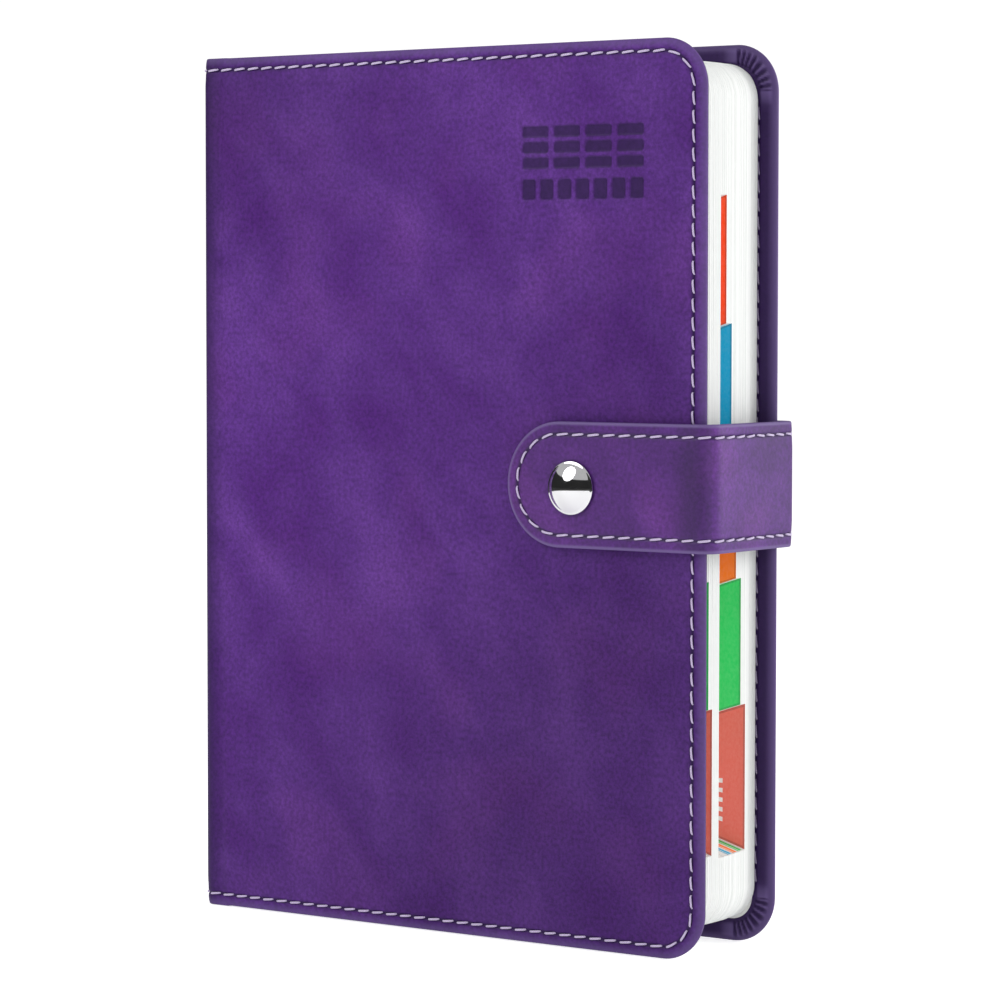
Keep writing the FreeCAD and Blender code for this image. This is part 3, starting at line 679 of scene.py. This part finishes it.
def rounded_block(x, z, left, foot, wide, high, radius=0.7, soft=0.45):
    """1 inside a rounded rectangle, 0 outside it, with a soft edge."""
    px = np.abs(x - left - wide / 2) - wide / 2 + radius
    pz = np.abs(z - foot - high / 2) - high / 2 + radius
    past_corner = np.hypot(np.maximum(px, 0), np.maximum(pz, 0)) - radius
    outside = past_corner + np.minimum(np.maximum(px, pz), 0)
    return ease(-outside, -soft / 2, soft / 2)


def motif(x, z):
    mark = np.zeros_like(x)
    for column in range(4):
        for row in range(3):
            corner = (MOTIF_X[0] + column * CELL_PITCH[0], CELL_FOOT + row * CELL_PITCH[1])
            mark = np.maximum(mark, rounded_block(x, z, *corner, *CELL))
    for day in range(7):
        mark = np.maximum(mark, rounded_block(x, z, MOTIF_X[0] + day * DAY_PITCH, DAY_FOOT, *DAY))
    return mark


def on_face(x):
    """Whether a point is on a cover's flat face, not on the spine."""
    return x > SPINE_CORNER


def cover_outer(border, x, y, z, back):
    """Stitched groove, fall to the border, groove by the spine, soft waves and the motif."""
    pressed = GROOVE_DEPTH * bump(border, STITCH_INSET, GROOVE_WIDTH)
    pressed = pressed + 0.14 * (1 - ease(border, 3.4, 7.5))
    pressed = pressed + 0.3 * bump(x, JOINT_GROOVE, 1.5) * on_face(x)
    pressed = pressed + undulation(x, z + 70 * back) * ease(x, 0.0, 8.0)
    if not back:
        pressed = pressed + MOTIF_DEPTH * motif(x, z) * on_face(x)
    return pressed


def pleats(border, x, z):
    """Gathered turn-in at a cover's corners on its inner face: 1 in a fold, 0 on a ridge."""
    centre_x = FORE_EDGE - COVER_CORNER
    centre_z = np.where(z < HEIGHT / 2, COVER_CORNER, HEIGHT - COVER_CORNER)
    angle = np.arctan2(np.abs(z - centre_z), x - centre_x)
    outward = (np.abs(z - HEIGHT / 2) > HEIGHT / 2 - COVER_CORNER) & (x > centre_x)
    fold = 1 - np.abs(np.sin(PLEATS * angle + 0.6 * np.sin(5 * angle))) ** 0.6
    return np.where(outward, fold * ease(border, 0.5, 1.6) * (1 - ease(border, 4.4, 5.4)), 0.0)


def at_corner(x, z):
    """1 where the turn-in is gathered, fading out along both edges."""
    across = ease(x, FORE_EDGE - COVER_CORNER - 4, FORE_EDGE - COVER_CORNER)
    straight = HEIGHT / 2 - COVER_CORNER
    return across * ease(np.abs(z - HEIGHT / 2), straight - 4, straight)


def cover_inner(border, x, y, z):
    """Recess for the board, the stitched groove, and the gathered turn-in at both corners."""
    pressed = GROOVE_DEPTH * bump(border, INNER_INSET, GROOVE_WIDTH)
    recess = (border > RIM + 0.01) & (x > JOINT_END + 1.0) & on_face(x)
    pressed = np.where(recess, COVER_DEPTH - SKIN_DEPTH, pressed)
    return pressed + np.where(border < RIM, PLEAT_DEPTH * pleats(border, x, z), 0.0)


def stitch_row_shade(border, inset):
    """Painted shade in the groove along a row of stitches."""
    return 0.95 * bump(border, inset, 0.52)


def cover_marks(border, x, y, z, back):
    """Marks of a cover's outer and inner face: painted shade, the darker pressed motif, a pale rim
    of rubbed wear with painted sheen, and painted highlights on pleat ridges.
    """
    press = stitch_row_shade(border, STITCH_INSET)
    # Painted shade where the cover turns round the spine, and in the groove beside the spine.
    spine_shade_mask = 1 - ease(np.minimum(y, DEPTH - y), 1.0, 4.0)
    press = np.maximum(press, 0.75 * (1 - ease(x, 0.5, 8.0)) * spine_shade_mask)
    press = np.maximum(press, 0.12 * bump(x, JOINT_GROOVE, 1.4) * on_face(x))
    if not back:
        press = np.maximum(press, 0.75 * motif(x, z) * on_face(x))
    folds = pleats(border, x, z)
    # Pale rolled edge: rubbed wear with painted sheen.
    rim = 0.45 * (1 - ease(border, 0.3, 2.4))
    # Painted highlights on the pleat ridges at the inner face's corners.
    crest = np.clip(1 - folds / RIDGE_SHARE, 0, 1)
    crest = crest * ease(border, 0.6, 1.6) * (1 - ease(border, 4.0, 5.0))
    rim_and_ridge_highlights = rim + 0.6 * at_corner(x, z) * crest
    # The inner face gets painted shade all over, deeper in the pleat folds.
    return {"press": (press, INNER_FACE_SHADE + 0.15 * folds), "rim": (rim, rim_and_ridge_highlights)}


STEP, FINE, COARSE = 0.02, 0.35, 1.6        # of the grid at a sharp step, in a bend, on a flat


def cover_skin(name, back):
    plan, length = cover_plan(back)
    near = [*roll_lines(COVER_ROLLS[0]), (2.4, 3.8, 0.2), (3.8, RIM, 0.3), (RIM, RIM + STEP, STEP),
            (RIM + STEP, COVER_CORNER, 0.5)]
    joint = FORE_EDGE - JOINT_END - 1
    turn = FORE_EDGE - SPINE_CORNER
    turned = turn + SPINE_CORNER * math.pi / 2
    e_spans = [*near, (COVER_CORNER, joint, COARSE), (joint, joint + STEP, STEP),
               (joint + STEP, turn, FINE), (turn, turned, FINE), (turned, length, COARSE)]
    z_spans = [*from_both_ends(near, 0.0, HEIGHT), (COVER_CORNER, HEIGHT - COVER_CORNER, COARSE)]
    if not back:
        e_spans.append((FORE_EDGE - MOTIF_X[1] - 1, FORE_EDGE - MOTIF_X[0] + 1, MOTIF_GRID))
        z_spans.append((DAY_FOOT - 1, CELL_FOOT + 3 * CELL_PITCH[1], MOTIF_GRID))
    return rolled_leaf(
        name, plan, (0.0, cover_thickness), spread(*e_spans), spread(*z_spans),
        COVER_CORNER, COVER_ROLLS, [COVER_LEATHER],
        lambda *at: cover_outer(*at, back), cover_inner, lambda *at: cover_marks(*at, back))


def across_cover_hinge(piece, back):
    """Bakes the piece's placement into its mesh. The ends of the hinge between the spine and a
    cover are worked out but not used.
    """
    y = DEPTH if back else 0.0
    start, end = (to_frame(x, y, HEIGHT / 2) for x in HINGE_BLEND)
    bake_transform(piece)
    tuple(start)
    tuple(end)


# ---------------------------------------------------------------- stitches

def border_path(start, low, high, inset, corner):
    """Line parallel to a leaf's border, as points of distance from the free end and height."""
    turn = corner - inset
    arc = quarter_turn(3)
    upper = [(corner - turn * math.sin(a), high - corner + turn * math.cos(a)) for a in arc]
    lower = [(corner - turn * math.cos(a), low + corner - turn * math.sin(a)) for a in arc]
    return np.array([(start, high - inset), *upper, *lower, (start, low + inset)])


def stitches(path, lift, slant=STITCH_SLANT, keep=lambda x, y, z: True):
    """Raised thread stitches along a path. lift(e, z, h) gives the point h above the leather."""
    steps = np.linalg.norm(np.diff(path, axis=0), axis=1)
    along = np.concatenate([[0], np.cumsum(steps)])
    count = max(1, round(along[-1] / STITCH_PITCH))
    half = along[-1] / count * STITCH_SHARE / 2
    ring = np.linspace(0, math.tau, STITCH_RING, endpoint=False)
    taper = 1 - 0.3 * np.abs(STITCH_STEPS) ** 6
    crest = THREAD_CREST - THREAD_DIP * np.abs(STITCH_STEPS) ** 5
    solids = []
    for i in range(count):
        middle = (i + 0.5) * along[-1] / count
        at = np.clip(middle + half * STITCH_STEPS, 0, along[-1])
        line = np.stack([np.interp(at, along, path[:, k]) for k in range(2)], axis=1)
        tangent = line[-1] - line[0]
        side = np.array([-tangent[1], tangent[0]]) / np.linalg.norm(tangent)
        if not keep(*lift(*line[len(line) // 2], 0.0)):
            continue
        points = []
        for k, (e, z) in enumerate(line):
            shift = slant * STITCH_STEPS[k]
            for turn in ring:
                sideways = shift + THREAD_WIDTH / 2 * taper[k] * math.cos(turn)
                high = crest[k] + THREAD_RISE * (math.sin(turn) - 1)
                points.append(lift(e + side[0] * sideways, z + side[1] * sideways, high))
        faces = tube_faces(len(line), STITCH_RING)
        solids.append((points, faces, [0] * len(faces)))
    return solids


def lift_from(plan, depth, outward):
    """Point above a leaf's outer face (outward 1) or its inner face at a depth (outward -1)."""
    def lift(e, z, h):
        x, y, nx, ny = plan(np.float64(e))
        out = depth - outward * h
        return float(x + nx * out), float(y + ny * out), float(z)
    return lift


def stitched(name, outside, inside=()):
    """Stitches of the thread outside and, inside, of its darker copy in painted shade."""
    inside = [(points, faces, [1] * len(faces)) for points, faces, _ in inside]
    points, faces, colours = join_solids([*outside, *inside])
    return make_piece(name, points, faces, [THREAD, SHADED_THREAD], colours, crease=60.0)


def cover_stitching(name, back):
    plan, length = cover_plan(back)
    path = border_path(length, 0.0, HEIGHT, STITCH_INSET, COVER_CORNER)
    inner_path = border_path(FORE_EDGE - JOINT_END - 2, 0.0, HEIGHT, INNER_INSET, COVER_CORNER)

    def clear_of_anchor(x, y, z):
        under = STRAP_LOW - 2 < z < STRAP_HIGH + 2 and x > FORE_EDGE / 2
        return not (back and under)

    outside = stitches(path, lift_from(plan, 0.0, 1), -STITCH_SLANT, clear_of_anchor)
    inside = stitches(inner_path, lift_from(plan, COVER_DEPTH, -1), -STITCH_SLANT,
                      lambda x, y, z: at_corner(x, z) < 0.5)
    return stitched(name, outside, inside)


for back in (False, True):
    side = "back" if back else "front"
    skin = cover_skin(f"{side}_skin", back)
    across_cover_hinge(skin, back)
    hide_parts(f"{side}_cover_leather", "spine_leather")
    sewing = cover_stitching(f"{side}_sewing", back)
    across_cover_hinge(sewing, back)
    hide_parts(f"{side}_cover_stitching", "spine_stitching")


# ---------------------------------------------------------------- strap

BEND_X = STRAP_OUT - BEND_RADIUS
STRAP_MIDDLE = (STRAP_FRONT + STRAP_BACK) / 2


def by_snap(x, y, z, radius, width):
    """Ring round the snap on the flap, 1 at its radius."""
    ring = bump(np.hypot(x - SNAP_X, z - SNAP_Z), radius, width)
    return ring * (y < STRAP_MIDDLE - 10)


def strap_outer(border, x, y, z):
    """Stitched groove, fall to the border and the dish round the snap."""
    pressed = GROOVE_DEPTH * bump(border, STRAP_INSET, GROOVE_WIDTH)
    pressed = pressed + 0.12 * (1 - ease(border, 0.4, 2.6)) + 0.1 * (1 - ease(border, 3.4, 6.6))
    return pressed + 0.3 * by_snap(x, y, z, *SNAP_DISH)


def strap_marks(border, x, y, z):
    # Painted shade in the stitched groove and on the flap where it curves towards the bend, and a
    # painted shadow line round the snap cap.
    press = np.maximum(stitch_row_shade(border, STRAP_INSET), 0.45 * by_snap(x, y, z, *SNAP_SHADOW_LINE))
    press = np.maximum(press, 0.55 * bump(x, BEND_X - 0.5, 4.5) * (y < STRAP_FRONT + 2))
    rim = 0.8 * (1 - ease(border, 0.45, 1.0))
    return {"press": (press, np.zeros_like(press)), "rim": (rim, rim)}


def flat_face(border, x, y, z):
    return np.zeros_like(x)


def moved_onto(lines, wanted):
    """Grid lines with the nearest ones moved onto wanted positions."""
    lines = lines.copy()
    for value in wanted:
        lines[np.argmin(np.abs(lines - value))] = value
    return lines


def strap_half(back):
    tip, corner = (STRAP_END, ANCHOR_CORNER) if back else (STRAP_TIP, TIP_CORNER)
    plan, length = bent_plan(tip, STRAP_OUT, BEND_RADIUS, STRAP_FRONT, STRAP_BACK, back)
    body, label = ("back_cover", "anchor") if back else ("strap_flap", "flap")
    near = [*roll_lines(STRAP_ROLLS[0]), (STRAP_ROLLS[0], 1.2, 0.2), (1.2, 2.1, 0.4),
            (2.1, 3.9, 0.2), (3.9, TIP_CORNER, 0.8)]
    bend = BEND_X - tip
    bent = bend + BEND_RADIUS * math.pi / 2
    e_lines = spread(*near, (TIP_CORNER, bend, 0.9), (bend, bent, FINE), (bent, length, 0.9))
    z_lines = spread(*from_both_ends(near, STRAP_LOW, STRAP_HIGH))
    pieces = []
    for ply, offsets, material, slot, outer, bore in (
        ("outer", OUTER_PLY, STRAP_LEATHER, "strap_leather", strap_outer, CAP_POST_HOLE),
        ("lining", LINING_PLY, LINING, "strap_lining", flat_face, SOCKET_HOLE),
    ):
        hole, lines = None, (e_lines, z_lines)
        if not back:
            hole = (SNAP_X - tip, SNAP_Z, bore, HOLE_REACH)
            lines = [moved_onto(found, (centre - bore, centre + bore))
                     for found, centre in zip(lines, hole)]
        piece = rolled_leaf(f"strap_{label}_{ply}_ply", plan, offsets, *lines, corner,
                            STRAP_ROLLS, [material], outer, flat_face, strap_marks, hole)
        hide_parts(f"strap_{label}_{ply}", f"strap_side_{ply}")
        pieces.append(piece)
    path = border_path(length, STRAP_LOW, STRAP_HIGH, STRAP_INSET, max(corner, STRAP_INSET + 1.5))
    rows = stitches(path, lift_from(plan, 0.0, 1))
    if back:
        crossing = np.array([(BEND_X - 2 - tip, STRAP_LOW + 7), (BEND_X - 2 - tip, STRAP_HIGH - 7)])
        rows += stitches(crossing, lift_from(plan, 0.0, 1))
    under = stitches(path, lift_from(plan, sum(LINING_PLY), -1), STITCH_SLANT,
                     lambda x, y, z: not back or x > FORE_EDGE + 1)
    sewing = stitched(f"strap_{label}_sewing", rows, under)
    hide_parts(f"strap_{label}_stitching", "strap_side_stitching")
    outward = 1 if back else -1
    middle = (STRAP_BACK if back else STRAP_FRONT) - outward * 0.9
    start = to_frame(BEND_X - 1.7, middle, SNAP_Z)
    end = to_frame(BEND_X + 4.3, middle - outward * 6.0, SNAP_Z)
    for piece in [*pieces, sewing]:
        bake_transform(piece)


strap_half(back=False)
strap_half(back=True)


# ---------------------------------------------------------------- snap

def snap_cap():
    """Domed cap with a rolled rim and the post that goes down through the outer ply."""
    radius = book_box("snap_cap")[1][0] - SNAP_X
    seat = STRAP_FRONT - 0.02
    crown = seat - book_box("snap_cap")[0][1]
    rim = [(radius - 0.45, 0.0), (radius - 0.14, 0.06), (radius, 0.25), (radius - 0.03, 0.42),
           (radius - 0.2, 0.55), (radius - 0.42, 0.57)]
    dome_radius, dome_foot = rim[-1]
    rise = crown - dome_foot
    sphere = (dome_radius ** 2 + rise ** 2) / (2 * rise)
    dome = []
    for step in range(1, 25):
        r = dome_radius * (1 - step / 24)
        dome.append((r if step < 24 else 0, crown - sphere + math.sqrt(sphere ** 2 - r ** 2)))
    profile = [(0, -1.2), (1.4, -1.2), (1.4, -0.02), *rim, *dome]
    cap = lathe("snap_cap_domed", profile, CHROME, seat)
    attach(cap, "strap_flap")
    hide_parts("snap_cap")


snap_cap()


# ---------------------------------------------------------------- pages

random = np.random.default_rng(2026)


def slope_line(height, slope, x):
    """Height at x of a slanted cut that starts at the tab's inner side."""
    return height + slope * (x - TAB_ROOT)


def tab_end(place):
    """Height of a tab's lower end at its inner side; place counts from 1 in its bank."""
    return TAB_TOP - place * TAB_PITCH - TAB_DROP


class Section:
    """One month's sheets, or the front matter, as the CAD model places them."""

    def __init__(self, name, leaf, pages, place):
        (_, self.leaf_front, _), (_, self.leaf_back, _) = book_box(leaf)
        _, (self.reach, self.pages_back, _) = book_box(pages)
        self.fold = book_box(leaf)[0][0]
        self.name, self.leaf, self.pages, self.place = name, leaf, pages, place

    def foot_edge(self):
        """From the foot of the bend to the foot of the fore-edge, round the corner."""
        x, z = self.reach - PAGE_CORNER, BLOCK_FOOT + PAGE_CORNER
        corner = [(x + PAGE_CORNER * math.sin(a), z - PAGE_CORNER * math.cos(a))
                  for a in quarter_turn(6)]
        return [(self.fold + PAGE_BEND, BLOCK_FOOT), *corner]

    def head_edge(self):
        return [(x, BLOCK_HEAD + BLOCK_FOOT - z) for x, z in reversed(self.foot_edge())]

    def strips(self):
        """Narrow strips over the stretch that bends."""
        columns = [BLOCK_START, *[self.fold + i for i in range(PAGE_BEND + 1)]]
        return [([(a, BLOCK_FOOT), (b, BLOCK_FOOT), (b, BLOCK_HEAD), (a, BLOCK_HEAD)], 0)
                for a, b in zip(columns, columns[1:])]

    def is_cut(self):
        return 0 < self.place < BANK

    def tab_corners(self, x):
        """Heights of the tab's lower and upper end at x."""
        if self.place == BANK:
            lower = self.cut_foot(x)
        else:
            lower = slope_line(tab_end(self.place), TAB_SLOPE, x)
        upper = slope_line(tab_end(self.place - 1), TAB_SLOPE, x)
        if self.place == 1:
            corner = BLOCK_HEAD - PAGE_CORNER - TAB_SLOPE * (self.reach - TAB_ROOT)
            upper = slope_line(corner, TAB_SLOPE, x)
        return lower, upper

    def cut_foot(self, x):
        """Height at x of the thumb cut's lower side, or of the last tab's foot."""
        return slope_line(TAB_FOOT - (BANK - self.place) * TAB_FOOT_STEP, TAB_FOOT_SLOPE, x)

    def cut_outline(self, inked):
        """Thumb cut under the tab, from the fore-edge in along its lower side and up to the tab.

        inked is the stretch of the lower side that carries the tab's ink, as two shares of it,
        or None. Comes with the faces of that stretch.
        """
        lower, _ = self.tab_corners(TAB_ROOT)
        edge, _ = self.tab_corners(self.reach)
        outline, faces = [(self.reach, self.cut_foot(self.reach))], []
        if inked:
            low, high = (TAB_ROOT + share * (self.reach - TAB_ROOT) for share in inked)
            ends = [(x, self.cut_foot(x)) for x in (low, high)]
            under = [(x, z - BLEED) for x, z in ends]
            faces.append(([under[0], under[1], ends[1], ends[0]], 1))
            outline += [ends[1], under[1], under[0], ends[0]]
        outline += [(TAB_ROOT, self.cut_foot(TAB_ROOT)), (TAB_ROOT, lower), (self.reach, edge)]
        return outline, faces

    def plain_faces(self, inked=None):
        """Faces of one page. inked is the stretch of its lower cut that takes the tab's ink."""
        outline, faces = self.foot_edge(), self.strips()
        if self.is_cut():
            cut, inked_faces = self.cut_outline(inked)
            outline += cut
            faces += inked_faces
        faces.append((outline + self.head_edge(), 0))
        return faces

    def tab_faces(self):
        """Faces of the tab leaf: plain paper and the printed tab with blank bars, and a border in a
        darker copy of its ink as painted shade.
        """
        wide = self.reach - TAB_ROOT
        low, high = self.tab_corners(TAB_ROOT)
        edge_u, edge_v = TAB_BORDER / wide, TAB_BORDER / (high - low)
        us = [0, edge_u, *TAB_BAR_U, 1 - edge_u, 1]
        vs = [0, edge_v, *[v for bar in TAB_BARS for v in bar], 1 - edge_v, 1]

        def corner(u, v):
            x = TAB_ROOT + u * wide
            lower, upper = self.tab_corners(x)
            return x, lower + v * (upper - lower)

        faces = self.strips()
        for i, (u0, u1) in enumerate(zip(us, us[1:])):
            for j, (v0, v1) in enumerate(zip(vs, vs[1:])):
                # Border cells take the darker copy of the ink: painted shade round the tab.
                rim = i in (0, len(us) - 2) or j in (0, len(vs) - 2)
                bar = i == 2 and j % 2 == 0 and not rim
                bare = bar or (self.place == 1 and i == len(us) - 2)
                cell = [corner(u0, v0), corner(u1, v0), corner(u1, v1), corner(u0, v1)]
                faces.append((cell, 0 if bare else 2 if rim else 1))
        outline = self.foot_edge()
        if self.is_cut():
            cut, inked_faces = self.cut_outline(INKED_CUTS.get(self.name))
            outline += cut[:-2]
            faces += inked_faces
        else:
            outline += [corner(u, 0) for u in reversed(us[1:])]
        outline += [corner(0, v) for v in vs] + [corner(u, 1) for u in us[1:]]
        faces.append((outline + self.head_edge()[1 if self.place == 1 else 0:], 0))
        return faces


def bind(piece, section, body, node):
    """Bakes the piece's placement into its mesh and hides the CAD node. The ends of the bend beyond
    the section's fold line are worked out but not used.
    """
    start = to_frame(section.fold, section.leaf_front, HEIGHT / 2)
    end = to_frame(section.fold + PAGE_BEND, section.leaf_front, HEIGHT / 2)
    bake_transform(piece)
    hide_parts(node)


def reach_behind(number):
    """Reach of the section behind a month, so that the sheets form one even fore-edge."""
    leaf = f"{MONTHS[number + 1]}_tab_leaf" if number + 1 < len(MONTHS) else "notes_pages"
    return book_box(leaf)[1][0]


def paged(name, section, inks, last_reach, swell=PAGE_SWELL):
    """A section's loose sheets as one piece. Their reach goes evenly over to the last one's."""
    front, reach = section.leaf_back, section.reach
    count = max(1, round((section.pages_back + swell - front) / SHEET_PITCH))
    pitch = (section.pages_back + swell - front) / count
    solids, tones = [], []
    for i in range(count):
        even = reach + (last_reach - reach) * (i / count)
        section.reach = even - SHEET_JITTER * float(random.random()) ** 2
        inked = INKED_CUTS.get(section.name) if i < INKED_SHEETS else None
        y = front + i * pitch
        sheet = section.plain_faces(inked)
        solids.append(slab(sheet, y, y + pitch * SHEET_DEPTH / SHEET_PITCH, inked_edges=True))
        tones += [1.0 - SHEET_SHADE * float(random.random()) ** 2] * len(solids[-1][0])
    section.reach = reach
    points, faces, colours = join_solids(solids)
    return make_piece(name, points, faces, [PAGE, *inks], colours, PAPER_CREASE, tone=tones)


def single_leaf(name, section, faces, materials):
    """The stiffer leaf in front of a section's sheets."""
    points, faces, colours = slab(faces, section.leaf_front, section.leaf_back)
    tones = [1.0] * len(points)
    return make_piece(name, points, faces, materials, colours, PAPER_CREASE, tone=tones)


front_matter = Section("front_matter", "front_flyleaf", "front_matter", 0)
flyleaf = single_leaf("front_flyleaf_sheet", front_matter, front_matter.plain_faces(), [FLYLEAF])
bind(flyleaf, front_matter, "front_matter", "front_flyleaf")
sheets = paged("front_matter_sheets", front_matter, [], reach_behind(-1))
bind(sheets, front_matter, "front_matter", "front_matter")

for number, month in enumerate(MONTHS):
    section = Section(month, f"{month}_tab_leaf", f"{month}_pages", number % BANK + 1)
    inks = list(TAB_INKS[number % BANK])
    leaf = single_leaf(f"{month}_index_leaf", section, section.tab_faces(), [LEAF, *inks])
    bind(leaf, section, month, section.leaf)
    sheets = paged(f"{month}_sheets", section, inks[:1], reach_behind(number))
    bind(sheets, section, month, section.pages)


class Notes(Section):
    """Plain pages at the back, which stay with the sewn block."""

    def __init__(self):
        (start, self.leaf_back, _), (self.reach, self.pages_back, _) = book_box("notes_pages")
        self.name, self.place, self.fold = "notes", 0, start + 1


notes = Notes()
sheets = paged("notes_sheets", notes, [], notes.reach, swell=0.0)
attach(sheets, "block")
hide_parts("notes_pages", "sewn_gutters")


def ribbed_band(name):
    """Woven band over a bead, at the head or tail of the bound edge."""
    low, high = book_box(name)
    radius = (high[0] - low[0]) / 2
    centre = (low + high) / 2
    rings, around = spread((low[1], high[1], 0.15)), 20
    points = []
    for y in rings:
        wide = radius * (0.93 + 0.07 * math.sin(math.tau * y / BAND_PITCH))
        for i in range(around):
            turn = math.tau * i / around
            points.append((centre[0] + wide * math.cos(turn), y, centre[2] + wide * math.sin(turn)))
    piece = make_piece(f"{name}_woven", points, tube_faces(len(rings), around), [BAND])
    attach(piece, "block")
    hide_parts(name)


for band in ("headband", "tailband"):
    ribbed_band(band)


# ---------------------------------------------------------------- CAD nodes that stay

KEPT = {
    GREYBOARD: ["front_cover_board", "back_cover_board", "spine_board"],
    ENDPAPER: ["front_pastedown", "back_pastedown", "back_flyleaf"],
    MULL: ["spine_mull"],
    GLUE: ["spine_glue"],
    PLATED: ["snap_socket", "snap_spring", "snap_stud", "snap_post"],
}
for material, names in KEPT.items():
    for name in names:
        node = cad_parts[name]
        node.data.materials.clear()
        node.data.materials.append(material)


# ---------------------------------------------------------------- stage, light and camera

# Strength of the white floor and background: for the object's light, and for the camera.
FLOOR_GLOW = (0.22, 0.65)
SKY_GLOW = (0.47, 1.05)
VIEW = (35.627, 3.05, 0.05)         # yaw, pitch and roll of the camera, in degrees
VIEW_FROM = (617.9, -732.0, 154.3)


def staged(name, points, faces, material):
    mesh = bpy.data.meshes.new(name)
    mesh.from_pydata(points, [], faces)
    mesh.materials.append(material)
    made = bpy.data.objects.new(name, mesh)
    bpy.context.scene.collection.objects.link(made)
    return made


def floor():
    steps = np.linspace(-6.0, 6.0, 25)
    material, tree, shader = new_material(
        "floor_white", Base_Color=(0.95, 0.95, 0.95, 1.0), Roughness=0.9, Specular_IOR_Level=0.1,
        Emission_Color=(1.0, 1.0, 1.0, 1.0))
    seen = add(tree, "ShaderNodeLightPath").outputs["Is Camera Ray"]
    tree.links.new(remap(tree, seen, 0.0, 1.0, *FLOOR_GLOW), shader.inputs["Emission Strength"])
    points = [(x, y, -0.0002) for x in steps for y in steps]
    staged("floor", points, grid_faces(len(steps), len(steps)), material)


def dark_surround():
    """Dim studio that only reflections see, round the front: far floor and low wall."""
    points = []
    turns = range(-100, 61, 5)
    section = [(0.75, 0.001), (3.0, 0.002), (3.0, 1.3)]
    for turn in map(math.radians, turns):
        points += [(radius * math.sin(turn), -radius * math.cos(turn), z) for radius, z in section]
    material, _, _ = new_material(
        "studio_wall_dark", Base_Color=(0.02, 0.02, 0.02, 1.0), Roughness=0.9)
    wall = staged("studio_wall", points, grid_faces(len(turns), len(section)), material)
    wall.visible_camera = False
    wall.visible_diffuse = False
    wall.visible_shadow = False


def soft_light(name, location, size, power):
    """Round lamp that faces the middle of the planner."""
    data = bpy.data.lights.new(name, "AREA")
    data.shape = "DISK"
    data.size = size
    data.energy = power
    lamp = bpy.data.objects.new(name, data)
    bpy.context.scene.collection.objects.link(lamp)
    lamp.location = location
    lamp.rotation_mode = "QUATERNION"
    towards = Vector((0.0, 0.0, HEIGHT * MM / 2)) - Vector(location)
    lamp.rotation_quaternion = towards.to_track_quat("-Z", "Y")


def surroundings():
    world = bpy.data.worlds.new("studio")
    bpy.context.scene.world = world
    world.use_nodes = True
    tree = world.node_tree
    background = tree.nodes["Background"]
    background.inputs["Color"].default_value = (1.0, 1.0, 1.0, 1.0)
    seen = add(tree, "ShaderNodeLightPath").outputs["Is Camera Ray"]
    tree.links.new(remap(tree, seen, 0.0, 1.0, *SKY_GLOW), background.inputs["Strength"])
    bpy.context.scene.view_settings.view_transform = "Standard"


def camera():
    """Long lens, a little right of and slightly above the middle of the front cover."""
    data = bpy.data.cameras.new("camera")
    data.lens, data.sensor_width = 135.3, 36.0
    data.clip_start, data.clip_end = 0.05, 50.0
    eye = bpy.data.objects.new("camera", data)
    bpy.context.scene.collection.objects.link(eye)
    bpy.context.scene.camera = eye
    yaw, pitch, roll = (math.radians(a) for a in VIEW)
    level = math.cos(pitch)
    forward = Vector((-math.sin(yaw) * level, math.cos(yaw) * level, -math.sin(pitch)))
    turned = forward.to_track_quat("-Z", "Y").to_matrix().to_4x4()
    eye.matrix_world = (Matrix.Translation(to_frame(*VIEW_FROM)) @ turned
                        @ Matrix.Rotation(roll, 4, "Z"))


floor()
dark_surround()
soft_light("key", (-0.55, -0.95, 0.85), size=0.9, power=5.0)
soft_light("side", (1.5, 1.2, 0.6), size=1.4, power=18.0)
soft_light("fill", (1.5, -0.9, 0.45), size=1.0, power=4.0)
soft_light("top", (0.2, -0.2, 1.9), size=1.2, power=3.0)
surroundings()
camera()
